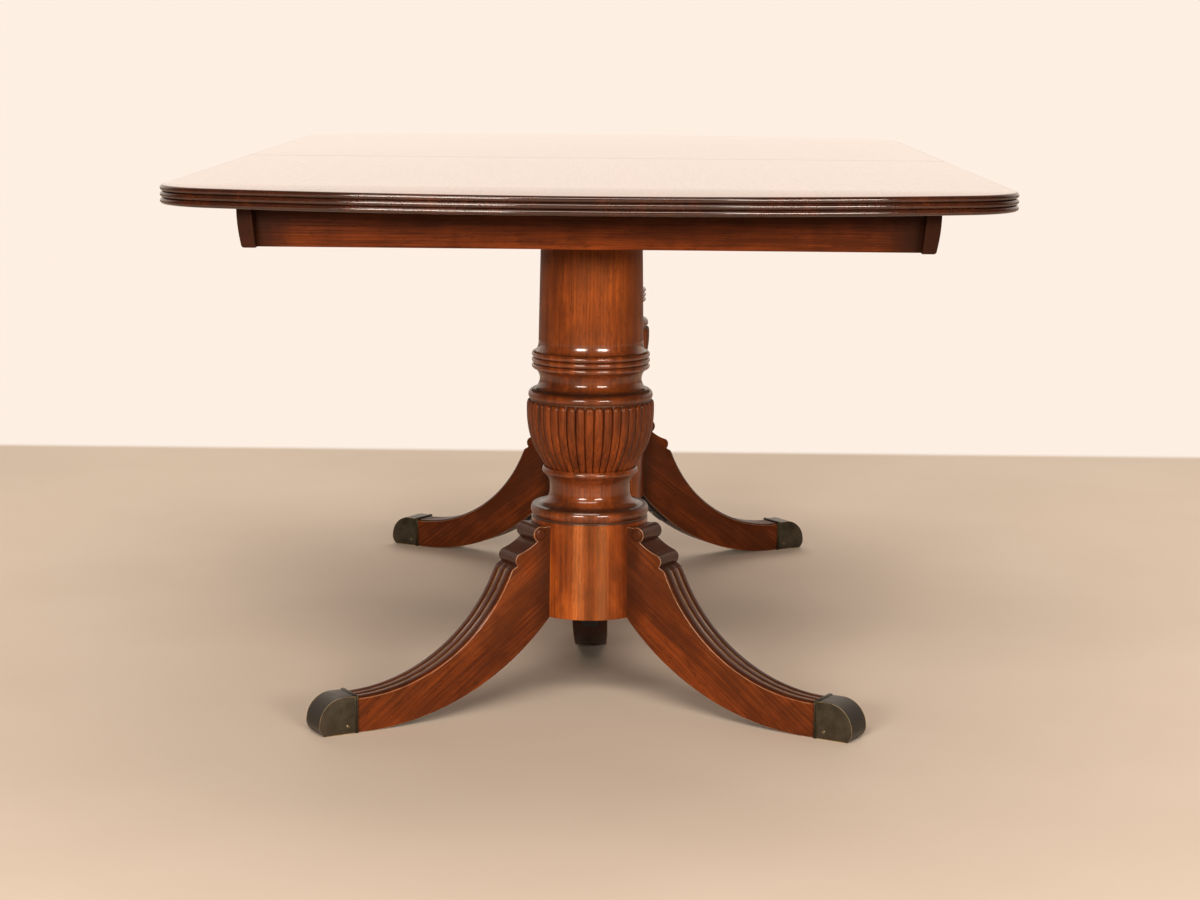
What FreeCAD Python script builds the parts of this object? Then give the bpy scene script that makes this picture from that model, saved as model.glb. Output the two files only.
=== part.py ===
import FreeCAD, Part
import math
import os

# Double pedestal dining table in mahogany, closed, with both halves of its top meeting at mid length.
# Millimetres, +Z up, origin on the floor under the table's centre.
# X runs across the table and Y along it: the front half lies at negative Y, the rear half at positive Y.

V = FreeCAD.Vector
UP = V(0, 0, 1)

# General clearances
seam_gap = 0.4
snug = 0.15
running = 0.4
overrun = 3.0
flat_limit = 0.001

# Top
table_height = 740.0
table_length = 1850.0
top_width = 1082.0
top_thickness = 24.0
end_bow_radius = 1400.0
end_corner_radius = 110.0
edge_reeds = 3
edge_round_share = 0.48
dowel_radius = 5.0
dowel_glued_length = 22.0
dowel_free_length = 18.0
dowel_nose = 1.5
dowel_places_shares = (-0.74, -0.25, 0.25, 0.74)

# Apron under the top
apron_height = 56.0
rail_end_overhang = 175.0
rail_side_overhang = 96.0
rail_lean = 5.5
rail_bow = 1.6
rail_thickness = 18.0
rail_corner_radius = 4.0
end_apron_recess = 20.0
end_apron_thickness = 20.0
corner_block_leg = 60.0
corner_block_height = 48.0

# Wooden extension runners, three to a side
runner_width = 26.0
runner_height = 42.0
runner_lane_inset = 241.0
runner_end_inset = 285.0
runner_inner_reach = 300.0
runner_middle_half_length = 470.0
runner_relief = 1.0
runner_relief_margin = 12.0
groove_depth = 9.0
groove_height = 14.0
groove_stop = 15.0
middle_travel = 312.5
runner_screw_shares = (0.12, 0.5, 0.88)

# Pedestal seat under each half of the top
pedestal_inset = 477.5
bearer_end_gap = 80.0
bearer_width = 46.0
bearer_spacing = 170.0
bearer_screw_share = 0.42
board_size = 260.0
board_thickness = 22.0
board_chamfer = 6.0

# Turned column, from the drum up
drum_radius = 81.5
drum_bottom = 130.0
drum_height = 133.5
quirk_depth = 1.6
quirk_height = 2.4
torus_radius = 82.4
torus_height = 15.0
torus_draw = 2.4
step_width = 3.2
waist_radius = 56.0
waist_height = 29.0
waist_cove_share = 0.62
lip_radius = 66.0
lip_height = 8.0
lip_flare_height = 16.0
lip_groove_depth = 3.0
urn_height = 97.0
urn_radii_shares = (0.685, 0.742, 0.812, 0.884, 0.945, 0.985, 1.0, 0.994, 0.955)
urn_level_shares = (0.0, 0.09, 0.19, 0.315, 0.47, 0.65, 0.83, 0.955, 1.0)
urn_radius = 88.9
urn_reeds = 42
urn_reed_depth = 2.4
urn_core_drop = 3.2
urn_groove_depth = 4.4
urn_groove_height = 2.2
bead_bulge = 3.95
bead_height = 13.5
bead_seat_radius = 80.0
bead_foot_radius = 85.0
neck_radius = 71.0
neck_mouth_radius = 78.0
neck_height = 28.0
ring_radius = 82.2
ring_groove_depth = 3.0
ring_height = 8.2
rings = 3
shaft_foot_radius = 72.9
shaft_flare = 3.4
shaft_flare_height = 15.0
shaft_top_radius = 70.4
tenon_radius = 26.0

# Dovetailed leg roots
dovetail_mouth = 26.0
dovetail_back = 34.0
dovetail_depth = 22.0
dovetail_height = 106.0

# Sabre legs, as radius from the column's axis and height
leg_turn = 120.0
leg_root_width = 53.0
leg_toe_width = 43.6
leg_heel_drop = 0.5
leg_sole_flat = 11.0
leg_under_start_r = 99.84
leg_crest_flat = 2.0
leg_over_start_r = 137.6
leg_over_start_z = 203.0
leg_toe_height = 50.0
leg_sole_lift = 0.5
leg_stations = 8
leg_reeds = 3
leg_reed_depth = 3.0
reed_nose_sink = 0.4
upper_scroll_radius = 11.0
upper_scroll_r = 91.0
upper_scroll_z = 248.0
upper_scroll_end_turn = -60.0
lower_scroll_radius = 10.0
lower_scroll_r = 120.0
lower_scroll_z = 214.0
lower_scroll_start_turn = 68.0
lower_scroll_end_turn = -48.0
scroll_cove_share = 0.05
leg_head_drop = 5.5

# Brass toe caps
inner_toe_clearance = 25.5
cap_length = 56.0
cap_wall = 2.4
cap_proud = 1.2
cap_nose_level = 18.5
cap_sole_back = 8.0
cap_top_back = 33.0
cap_nose_bulge_share = 0.19
cap_toe_bulge_share = 0.16
cap_collar_width = 5.0
cap_collar_proud = 1.1
toe_tenon_length = 34.0
toe_pin_radius = 2.6
toe_pin_head = 1.2
toe_pin_shank_radius = 1.2
toe_pin_length = 12.0
toe_pin_inset = 15.0
toe_pin_level = 11.0

# Iron strap under each pedestal
strap_thickness = 3.0
strap_width = 24.0
strap_disc_radius = 40.0
strap_turn = 12.0
strap_leg_screw_share = 0.62
strap_drum_screw_radius = 26.0

# Latches under the seam
latch_inset = 139.0
latch_reach = 44.0
latch_pivot_y = 22.0
latch_plate_thickness = 2.5
latch_plate_half_width = 14.0
latch_plate_end = 46.0
latch_plate_seam_setback = 4.0
latch_lever_thickness = 3.0
latch_arm_width = 13.0
latch_eye_radius = 8.5
latch_hook_radius = 12.0
latch_slot_turn = 70.0
latch_rivet_radius = 3.0
latch_rivet_fit = 0.05
latch_head_radius = 5.5
latch_head_height = 2.0
latch_stud_radius = 3.5
latch_knob_radius = 5.0
latch_knob_height = 12.0
latch_screw_inset = 6.0
latch_screw_spread = 9.0

# Wood screws and bolts
screw_shank_radius = 2.2
screw_head_radius = 4.4
screw_head_height = 2.6
screw_bite = 14.0
bolt_shank_radius = 4.0
bolt_head_radius = 8.0
bolt_head_height = 5.0
bolt_bite = 26.0
small_screw_shank_radius = 1.6
small_screw_head_radius = 3.4
small_screw_head_height = 1.8
small_screw_bite = 10.0

# Levels and places that the pieces share
underside = table_height - top_thickness
rail_end_y = table_length / 2 - rail_end_overhang
rail_top_half_width = top_width / 2 - rail_side_overhang
runner_middle_x = top_width / 2 - runner_lane_inset
runner_outer_end = table_length / 2 - runner_end_inset
pedestal_y = table_length / 2 - pedestal_inset
latch_x = top_width / 2 - latch_inset
bearer_length = 2 * (runner_middle_x - bearer_end_gap)
cap_mouth_r = pedestal_y - inner_toe_clearance - cap_length
apron_bottom = underside - apron_height
runner_bottom = underside - runner_height
board_top = underside - runner_height
board_bottom = board_top - board_thickness
drum_top = drum_bottom + drum_height

# The leg's two sweeps: their lowest points, radii, and turns measured from the lowest points
leg_over_bottom_r = cap_mouth_r - leg_crest_flat
leg_under_bottom_r = cap_mouth_r - leg_sole_flat
leg_over_run = leg_over_bottom_r - leg_over_start_r
leg_over_rise = leg_over_start_z - leg_toe_height
leg_over_radius = (leg_over_run ** 2 + leg_over_rise ** 2) / (2 * leg_over_rise)
leg_under_run = leg_under_bottom_r - math.sqrt(drum_radius ** 2 - (leg_root_width / 2) ** 2)
leg_under_rise = drum_bottom - leg_heel_drop - leg_sole_lift
leg_under_radius = (leg_under_run ** 2 + leg_under_rise ** 2) / (2 * leg_under_rise)
leg_over_turn = math.degrees(math.asin(leg_over_run / leg_over_radius))
leg_under_turn = math.degrees(math.asin((leg_under_bottom_r - leg_under_start_r) / leg_under_radius))
leg_sole_turn = math.degrees(math.asin((leg_under_bottom_r - drum_radius) / leg_under_radius))


def at(x, z):
    """A point in the upright plane that profiles are drawn in."""
    return V(x, 0, z)


def polar(centre, radius, degrees):
    """A point on a circle drawn in the upright plane."""
    turn = math.radians(degrees)
    return centre + V(radius * math.cos(turn), 0, radius * math.sin(turn))


def line(a, b):
    return Part.LineSegment(a, b).toShape()


def arc(a, middle, b):
    return Part.Arc(a, middle, b).toShape()


def bulged(a, b, bulge):
    """An arc from a to b in the upright plane that stands off its chord to the left by the bulge."""
    chord = b - a
    aside = V(-chord.z, 0, chord.x).normalize()
    return arc(a, (a + b) * 0.5 + aside * bulge, b)


def prism(edges, along):
    """A solid from a closed run of flat edges."""
    return Part.Face(Part.Wire(edges)).extrude(along)


def polygon(points, along):
    return Part.Face(Part.makePolygon(points + points[:1])).extrude(along)


def box(low, high):
    size = high - low
    return Part.makeBox(size.x, size.y, size.z, low)


def rod(radius, start, length, direction=UP):
    return Part.makeCylinder(radius, length, start, direction)


def turned(shape, degrees):
    """A copy turned about the upright axis through the origin."""
    copy = shape.copy()
    copy.rotate(V(0, 0, 0), UP, degrees)
    return copy


def moved(shape, offset):
    copy = shape.copy()
    copy.translate(offset)
    return copy


def mirrored(shape):
    """A copy on the other side of the table's long middle plane."""
    return shape.mirror(V(0, 0, 0), V(1, 0, 0))


def group(shapes):
    return Part.makeCompound(shapes)


def screw(seat, direction, shank, head, head_height, length):
    """A round headed screw: the head lies outside the seat, the shank runs along the direction."""
    dome = rod(head, seat - direction * head_height, head_height, direction)
    return dome.fuse(rod(shank, seat, length, direction)).removeSplitter()


def screw_bore(seat, direction, shank, length):
    return rod(shank + snug, seat - direction * overrun, length + overrun + snug, direction)


# Fasteners by place

def runner_screw_places(lane_x, end):
    """Seats of the screws that hold a runner to its own half of the top."""
    low = runner_relief_margin
    high = runner_outer_end
    return [V(lane_x, end * (low + (high - low) * share), runner_bottom) for share in runner_screw_shares]


def bearer_places():
    return (-bearer_spacing / 2, bearer_spacing / 2)


def bearer_screw_places():
    """Seats of the screws through the bearers, round a pedestal's axis."""
    reach = bearer_length * bearer_screw_share
    return [V(side * reach, y, runner_bottom) for side in (-1, 1) for y in bearer_places()]


def board_bolt_places():
    """Seats of the bolts through a pedestal's board into its bearers."""
    reach = bearer_spacing / 2
    return [V(side * reach, y, board_bottom) for side in (-1, 1) for y in bearer_places()]


def latch_screw_places(end):
    y = end * (latch_plate_end - latch_screw_inset)
    level = underside - latch_plate_thickness
    return [V(latch_x + side * latch_screw_spread, y, level) for side in (-1, 1)]


def lane(side, which):
    """Middle of a runner across the table: which is 1 for the outer lane, 0 middle, -1 inner."""
    return side * (runner_middle_x + which * (runner_width + running))


# Top

def half_outline(level):
    """Plan of the front half of the top: straight sides, round corners and a bowed end."""
    half_width = top_width / 2
    bow_centre = V(0, end_bow_radius - table_length / 2, level)
    corner_x = half_width - end_corner_radius
    spread = end_bow_radius - end_corner_radius
    corner_y = bow_centre.y - math.sqrt(spread ** 2 - corner_x ** 2)
    seam_y = -seam_gap / 2
    nose = V(0, -table_length / 2, level)

    def corner(side):
        centre = V(side * corner_x, corner_y, level)
        outward = (centre - bow_centre).normalize()
        joint = bow_centre + outward * end_bow_radius
        flank = centre + V(side * end_corner_radius, 0, 0)
        bisector = (outward + V(side, 0, 0)).normalize()
        return joint, centre + bisector * end_corner_radius, flank

    left_joint, left_middle, left_flank = corner(-1)
    right_joint, right_middle, right_flank = corner(1)
    left_seam = V(-half_width, seam_y, level)
    right_seam = V(half_width, seam_y, level)
    return Part.Wire([
        line(left_seam, left_flank),
        arc(left_flank, left_middle, left_joint),
        arc(left_joint, nose, right_joint),
        arc(right_joint, right_middle, right_flank),
        line(right_flank, right_seam),
        line(right_seam, left_seam),
    ])


def reeded_panel():
    """The front half of the top, its edge worked into round reeds except along the seam."""
    reed_height = top_thickness / edge_reeds
    layers = []
    for number in range(edge_reeds):
        outline = half_outline(underside + number * reed_height)
        layer = Part.Face(outline).extrude(UP * reed_height)
        rims = [e for e in layer.Edges
                if e.BoundBox.ZLength < flat_limit and e.BoundBox.YLength > flat_limit]
        layers.append(layer.makeFillet(reed_height * edge_round_share, rims))
    return layers[0].fuse(layers[1:]).removeSplitter()


def dowel_places():
    level = underside + top_thickness / 2
    return [V(top_width / 2 * share, -seam_gap / 2, level) for share in dowel_places_shares]


def top_half(end):
    """One half of the top with its seam holes and the pilot holes of everything screwed under it."""
    panel = reeded_panel()
    if end > 0:
        panel = turned(panel, 180)
    cuts = []
    depth = dowel_glued_length if end < 0 else dowel_free_length + running
    radius = dowel_radius + (snug if end < 0 else running)
    for place in dowel_places():
        start = V(place.x, end * (seam_gap / 2 - overrun), place.z)
        reach = depth + seam_gap + overrun
        cuts.append(rod(radius, start, reach, V(0, end, 0)))
    shank = screw_shank_radius
    for side in (-1, 1):
        for seat in runner_screw_places(lane(side, -end), end):
            cuts.append(screw_bore(seat, UP, shank, runner_height + screw_bite))
        for seat in latch_screw_places(end):
            place = V(side * seat.x, seat.y, seat.z)
            cuts.append(screw_bore(place, UP, small_screw_shank_radius, small_screw_bite))
    for seat in bearer_screw_places():
        place = seat + V(0, end * pedestal_y, 0)
        cuts.append(screw_bore(place, UP, shank, runner_height + screw_bite))
    return panel.cut(cuts)


def seam_dowels():
    """Birch pins glued into the front half that enter the rear half."""
    pins = []
    for place in dowel_places():
        start = place - V(0, dowel_glued_length, 0)
        length = dowel_glued_length + dowel_free_length
        pin = rod(dowel_radius, start, length, V(0, 1, 0))
        rims = [e for e in pin.Edges if e.BoundBox.YLength < flat_limit]
        pins.append(pin.makeChamfer(dowel_nose, rims))
    return group(pins)


# Apron

def side_rail(side, end):
    """A rail that leans in towards its foot, with a slightly bowed outer face and a round lower corner."""
    top_in = at(rail_top_half_width - rail_thickness, underside)
    top_out = at(rail_top_half_width, underside)
    foot_out = at(rail_top_half_width - rail_lean, apron_bottom)
    foot_in = at(rail_top_half_width - rail_lean - rail_thickness, apron_bottom)
    shoulder = foot_out + V(0, 0, rail_corner_radius)
    toe = foot_out - V(rail_corner_radius, 0, 0)
    corner_bulge = rail_corner_radius * (1 - math.sqrt(0.5))
    edges = [
        line(top_in, top_out),
        bulged(top_out, shoulder, rail_bow),
        bulged(shoulder, toe, corner_bulge),
        line(toe, foot_in),
        line(foot_in, top_in),
    ]
    rail = prism(edges, V(0, rail_end_y - seam_gap / 2, 0))
    rail = moved(rail, V(0, -rail_end_y, 0))
    rail = rail if side > 0 else mirrored(rail)
    return rail if end < 0 else turned(mirrored(rail), 180)


def rail_inner_x(level):
    """Inner face of a side rail at a height."""
    share = (underside - level) / apron_height
    return rail_top_half_width - rail_thickness - rail_lean * share


def end_apron(end):
    """Cross board between the side rails, set back from their ends and trimmed to their lean."""
    front = -(rail_end_y - end_apron_recess)
    top_x = rail_inner_x(underside) - snug
    foot_x = rail_inner_x(apron_bottom) - snug
    points = [
        V(-top_x, front, underside),
        V(top_x, front, underside),
        V(foot_x, front, apron_bottom),
        V(-foot_x, front, apron_bottom),
    ]
    board = polygon(points, V(0, end_apron_thickness, 0))
    return board if end < 0 else turned(board, 180)


def corner_blocks(end):
    """Three-sided glue blocks in the corners behind the end apron."""
    back = -(rail_end_y - end_apron_recess - end_apron_thickness)
    top_x = rail_inner_x(underside) - snug
    foot_level = underside - corner_block_height
    foot_x = rail_inner_x(foot_level) - snug

    def outline(x, level):
        points = [
            V(x, back, level),
            V(x, back + corner_block_leg, level),
            V(x - corner_block_leg, back, level),
        ]
        return Part.makePolygon(points + points[:1])

    block = Part.makeLoft([outline(top_x, underside), outline(foot_x, foot_level)], True, True)
    pair = group([block, mirrored(block)])
    return pair if end < 0 else turned(pair, 180)


# Runners

def outer_runner(side, end):
    """A runner fixed under one half: grooved on the face that meets the middle runner."""
    which = -end
    centre = lane(side, which)
    half = runner_width / 2
    inner_end = runner_inner_reach
    body = box(V(centre - half, -runner_outer_end, runner_bottom), V(centre + half, inner_end, underside))
    relief = box(
        V(centre - half - overrun, -runner_relief_margin, underside - runner_relief),
        V(centre + half + overrun, inner_end + overrun, underside + overrun),
    )
    facing = -side * which
    middle_z = (runner_bottom + underside) / 2
    mouth = centre + facing * (half + overrun)
    floor = centre + facing * (half - groove_depth)
    groove = box(
        V(min(mouth, floor), -runner_outer_end - overrun, middle_z - groove_height / 2),
        V(max(mouth, floor), inner_end - groove_stop, middle_z + groove_height / 2),
    )
    body = body.cut([relief, groove])
    if end > 0:
        body = body.mirror(V(0, 0, 0), V(0, 1, 0))
    length = runner_height + screw_bite
    bores = [screw_bore(seat, UP, screw_shank_radius, length) for seat in runner_screw_places(centre, end)]
    return body.cut(bores)


def middle_runner(side):
    """The runner between: a tongue on each face, each stopping short so that its groove's end halts it."""
    half = runner_width / 2
    centre = lane(side, 0)
    top = underside - runner_relief
    body = box(
        V(centre - half, -runner_middle_half_length, runner_bottom),
        V(centre + half, runner_middle_half_length, top),
    )
    middle_z = (runner_bottom + underside) / 2
    rise = groove_height / 2 - running
    stop = runner_inner_reach - groove_stop - middle_travel - running
    tongues = []
    for end in (-1, 1):
        facing = -side * end
        root = centre + facing * half
        tip = root + facing * groove_depth
        near = min(-end * stop, end * runner_middle_half_length)
        far = max(-end * stop, end * runner_middle_half_length)
        tongues.append(box(V(min(root, tip), near, middle_z - rise), V(max(root, tip), far, middle_z + rise)))
    return body.fuse(tongues).removeSplitter()


def runner_screws(end):
    length = runner_height + screw_bite
    return group([
        screw(seat, UP, screw_shank_radius, screw_head_radius, screw_head_height, length)
        for side in (-1, 1) for seat in runner_screw_places(lane(side, -end), end)
    ])


# Pedestal seat, drawn round the pedestal's own axis

def bearer(y):
    """A cross bearer between the pedestal's board and the top."""
    half = bearer_length / 2
    body = box(V(-half, y - bearer_width / 2, runner_bottom), V(half, y + bearer_width / 2, underside))
    cuts = []
    for seat in bearer_screw_places():
        if seat.y == y:
            cuts.append(screw_bore(seat, UP, screw_shank_radius, runner_height + screw_bite))
    for seat in board_bolt_places():
        if seat.y == y:
            cuts.append(screw_bore(seat, UP, bolt_shank_radius, board_thickness + bolt_bite))
    return body.cut(cuts)


def bearer_screws():
    length = runner_height + screw_bite
    return group([
        screw(seat, UP, screw_shank_radius, screw_head_radius, screw_head_height, length)
        for seat in bearer_screw_places()
    ])


def pedestal_board():
    """Square board that the column's tenon is wedged into, chamfered round its lower edge."""
    half = board_size / 2
    board = box(V(-half, -half, board_bottom), V(half, half, board_top))
    rims = [e for e in board.Edges
            if e.BoundBox.ZLength < flat_limit and e.BoundBox.ZMin < board_bottom + flat_limit]
    board = board.makeChamfer(board_chamfer, rims)
    cuts = [rod(tenon_radius + snug, V(0, 0, board_bottom - overrun), board_thickness + overrun * 2)]
    for seat in board_bolt_places():
        cuts.append(screw_bore(seat, UP, bolt_shank_radius, board_thickness + bolt_bite))
    return board.cut(cuts)


def board_bolts():
    length = board_thickness + bolt_bite
    return group([
        screw(seat, UP, bolt_shank_radius, bolt_head_radius, bolt_head_height, length)
        for seat in board_bolt_places()
    ])


# Column

def column_profile():
    """Half section of the turned column, from the drum's foot to the tenon, with a plain core at the urn."""
    z = drum_bottom
    edges = []
    pen = at(0, z)

    def go(r, rise):
        nonlocal pen, z
        z += rise
        edges.append(line(pen, at(r, z)))
        pen = at(r, z)

    def sweep(r, rise, bulge):
        nonlocal pen, z
        z += rise
        edges.append(bulged(pen, at(r, z), -bulge))
        pen = at(r, z)

    # Drum and torus
    go(drum_radius, 0)
    go(drum_radius, drum_height)
    go(drum_radius - quirk_depth, 0)
    go(drum_radius - quirk_depth, quirk_height)
    torus_edge = torus_radius - torus_draw
    go(torus_edge, 0)
    sweep(torus_edge, torus_height, torus_draw)
    # Waist, drawn in by a deep cove and opening again into the lip
    waist_mouth = torus_edge - step_width
    go(waist_mouth, 0)
    reach = waist_mouth - waist_radius
    sweep(waist_radius, waist_height * waist_cove_share, -reach * (1 - math.sqrt(0.5)))
    go(waist_radius, waist_height * (1 - waist_cove_share))
    flare = lip_radius - waist_radius
    sweep(lip_radius, lip_flare_height, -flare * (1 - math.sqrt(0.5)) * waist_cove_share)
    sweep(lip_radius - lip_groove_depth / 2, lip_height, lip_groove_depth / 2)
    urn_foot_radius = urn_radius * urn_radii_shares[0] - urn_core_drop
    go(urn_foot_radius, -lip_groove_depth)
    # Core of the urn, inside the reeds
    urn_bottom = z
    for share, level in zip(urn_radii_shares[1:], urn_level_shares[1:]):
        go(urn_radius * share - urn_core_drop, urn_bottom + urn_height * level - z)
    go(urn_radius - urn_groove_depth, 0)
    go(urn_radius - urn_groove_depth, urn_groove_height)
    # Bead, neck and the three rings
    go(bead_foot_radius, 0)
    sweep(bead_seat_radius, bead_height, bead_bulge)
    go(neck_mouth_radius, 0)
    sweep(neck_mouth_radius, neck_height, neck_radius - neck_mouth_radius)
    ring_foot = ring_radius - ring_groove_depth
    go(ring_foot, 0)
    for number in range(rings):
        sweep(ring_foot, ring_height, ring_groove_depth)
    # Shaft and tenon
    go(shaft_foot_radius + shaft_flare, 0)
    sweep(shaft_foot_radius, shaft_flare_height, -shaft_flare * (1 - math.sqrt(0.5)))
    go(shaft_top_radius, board_bottom - z)
    go(tenon_radius, 0)
    go(tenon_radius, board_thickness)
    go(0, 0)
    edges.append(line(pen, at(0, drum_bottom)))
    return edges, urn_bottom


def urn_section(radius, level):
    """Round plan of the urn at one height, scalloped into reeds."""
    valley = radius - urn_reed_depth
    step = 2 * math.pi / urn_reeds

    def point(r, turn):
        return V(r * math.cos(turn), r * math.sin(turn), level)

    edges = []
    for number in range(urn_reeds):
        turn = number * step
        edges.append(arc(point(valley, turn), point(radius, turn + step / 2), point(valley, turn + step)))
    return Part.Wire(edges)


def column():
    """The whole turned and reeded column, with the sockets of its three legs."""
    edges, urn_bottom = column_profile()
    body = Part.Face(Part.Wire(edges)).revolve(V(0, 0, 0), UP, 360)
    sections = [
        urn_section(urn_radius * share, urn_bottom + urn_height * level)
        for share, level in zip(urn_radii_shares, urn_level_shares)
    ]
    body = body.fuse(Part.makeLoft(sections, True, False))
    sockets = [turned(dovetail(-snug), leg_turn * number) for number in range(3)]
    floor_cut = rod(strap_drum_hole(), V(0, 0, drum_bottom - overrun), overrun + small_screw_bite)
    holes = [moved(floor_cut, place) for place in strap_drum_places()]
    return body.cut(sockets + holes)


def dovetail(shrink):
    """Tongue of a leg along +X, wider at its back: a negative shrink makes its socket."""
    mouth = dovetail_mouth / 2 - shrink
    back = dovetail_back / 2 - shrink
    root = drum_radius - dovetail_depth + shrink
    sole = under_point(leg_sole_turn).z
    bottom = drum_bottom - overrun if shrink < 0 else max(drum_bottom, sole)
    top = drum_bottom + dovetail_height - shrink
    outside = drum_radius + overrun
    slope = (back - mouth) / dovetail_depth
    spread = mouth - slope * overrun
    points = [
        V(root, -back, bottom),
        V(outside, -spread, bottom),
        V(outside, spread, bottom),
        V(root, back, bottom),
    ]
    return polygon(points, V(0, 0, top - bottom))


# Legs

def leg_width(r):
    """The leg narrows evenly from the column to the toe."""
    share = (r - drum_radius) / (cap_mouth_r - drum_radius)
    return leg_root_width + (leg_toe_width - leg_root_width) * share


def over_point(degrees):
    centre = at(leg_over_bottom_r, leg_toe_height + leg_over_radius)
    return polar(centre, leg_over_radius, -90 - degrees)


def under_point(degrees):
    centre = at(leg_under_bottom_r, leg_sole_lift + leg_under_radius)
    return polar(centre, leg_under_radius, -90 - degrees)


def leg_stations_points():
    """Pairs of points across the leg, upper and lower, from below the scrolls to the toe cap."""
    pairs = []
    for number in range(leg_stations + 1):
        share = 1 - number / leg_stations
        pairs.append((over_point(leg_over_turn * share), under_point(leg_under_turn * share)))
    pairs.append((at(cap_mouth_r, leg_toe_height), at(cap_mouth_r, leg_sole_lift)))
    return pairs


def leg_section(over, under):
    """Cross section of the leg: flat sides and sole, the top worked into reeds."""
    up = (over - under).normalize()
    base = over - up * leg_reed_depth
    width = leg_width(over.x)
    foot = leg_width(under.x) / 2
    step = width / leg_reeds
    edges = [line(under + V(0, -foot, 0), base + V(0, -width / 2, 0))]
    for number in range(leg_reeds):
        start = -width / 2 + number * step
        end = start + step
        edges.append(arc(base + V(0, start, 0), over + V(0, (start + end) / 2, 0), base + V(0, end, 0)))
    edges.append(line(base + V(0, width / 2, 0), under + V(0, foot, 0)))
    edges.append(line(under + V(0, foot, 0), under + V(0, -foot, 0)))
    return Part.Wire(edges)


def leg_head():
    """Upper end of the leg: two rolled scrolls and the cove between them, down to where the reeds start."""
    over, under = leg_stations_points()[0]
    base = over - (over - under).normalize() * leg_reed_depth
    upper = at(upper_scroll_r, upper_scroll_z)
    lower = at(lower_scroll_r, lower_scroll_z)
    ceiling = drum_top - leg_head_drop
    back_r = drum_radius - dovetail_depth
    lift = math.degrees(math.asin((ceiling - upper_scroll_z) / upper_scroll_radius))
    roll_start = polar(upper, upper_scroll_radius, 180 - lift)
    roll_end = polar(upper, upper_scroll_radius, upper_scroll_end_turn)
    second_start = polar(lower, lower_scroll_radius, lower_scroll_start_turn)
    second_end = polar(lower, lower_scroll_radius, lower_scroll_end_turn)
    middle_turn = (lower_scroll_start_turn + lower_scroll_end_turn) / 2
    cove = -(second_start - roll_end).Length * scroll_cove_share
    sole_end = under_point(leg_sole_turn)
    sole_middle = under_point((leg_sole_turn + leg_under_turn) / 2)
    edges = [
        line(at(back_r, ceiling), roll_start),
        arc(roll_start, polar(upper, upper_scroll_radius, 90), polar(upper, upper_scroll_radius, 0)),
        arc(polar(upper, upper_scroll_radius, 0),
            polar(upper, upper_scroll_radius, upper_scroll_end_turn / 2), roll_end),
        bulged(roll_end, second_start, cove),
        arc(second_start, polar(lower, lower_scroll_radius, middle_turn), second_end),
        line(second_end, base),
        line(base, under),
        arc(under, sole_middle, sole_end),
        line(sole_end, at(back_r, sole_end.z)),
        line(at(back_r, sole_end.z), at(back_r, ceiling)),
    ]
    slab = moved(prism(edges, V(0, leg_root_width, 0)), V(0, -leg_root_width / 2, 0))
    near, far = leg_root_width / 2, leg_toe_width / 2
    plan = [
        V(back_r, -near, 0),
        V(drum_radius, -near, 0),
        V(cap_mouth_r, -far, 0),
        V(cap_mouth_r, far, 0),
        V(drum_radius, near, 0),
        V(back_r, near, 0),
    ]
    wedge = polygon(plan, V(0, 0, table_height))
    drum = rod(drum_radius + snug, V(0, 0, 0), table_height)
    return slab.common(wedge).cut(drum)


def reed_noses():
    """Round upper ends of the reeds, below the lower scroll."""
    over, under = leg_stations_points()[0]
    up = (over - under).normalize()
    step = leg_width(over.x) / leg_reeds
    radius = step / 2 - snug
    crest = over - up * (radius + reed_nose_sink)
    return [
        Part.makeSphere(radius, crest + V(0, (number + 0.5) * step - leg_width(over.x) / 2, 0))
        for number in range(leg_reeds)
    ]


def leg():
    """A sabre leg along +X: scrolled head, dovetailed root, reeded sweep and the tenon of its toe cap."""
    sweep = Part.makeLoft([leg_section(*pair) for pair in leg_stations_points()], True, False)
    tongue = dovetail(0)
    half = leg_toe_width / 2 + cap_proud - cap_wall - snug
    tenon_top = leg_toe_height + cap_proud - cap_wall - snug - leg_reed_depth
    tenon = box(V(cap_mouth_r, -half, cap_wall + snug), V(cap_mouth_r + toe_tenon_length, half, tenon_top))
    tongue_slice = tongue.common(rod(drum_radius + overrun, V(0, 0, 0), table_height))
    body = leg_head().fuse([sweep, tongue_slice, tenon] + reed_noses()).removeSplitter()
    cuts = []
    for place, inward in toe_pin_places():
        cuts.append(rod(toe_pin_shank_radius + snug, place, toe_pin_length + snug, inward))
    seat, direction = strap_leg_place()
    cuts.append(screw_bore(seat, direction, small_screw_shank_radius, strap_thickness + small_screw_bite))
    return body.cut(cuts)


# Toe caps

def cap_outline(inset):
    """Side view of a toe cap, drawn in by an inset."""
    mouth = cap_mouth_r
    tip = mouth + cap_length - inset
    crown = leg_toe_height + cap_proud - inset
    nose = at(tip, cap_nose_level)
    sole = at(tip - cap_sole_back + inset, inset)
    top = at(tip - cap_top_back + inset, crown)
    toe_rise = (nose - sole).Length * cap_toe_bulge_share
    crown_rise = (top - nose).Length * cap_nose_bulge_share
    return [
        line(at(mouth, inset), sole),
        bulged(sole, nose, -toe_rise),
        bulged(nose, top, -crown_rise),
        line(top, at(mouth, crown)),
        line(at(mouth, crown), at(mouth, inset)),
    ]


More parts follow.
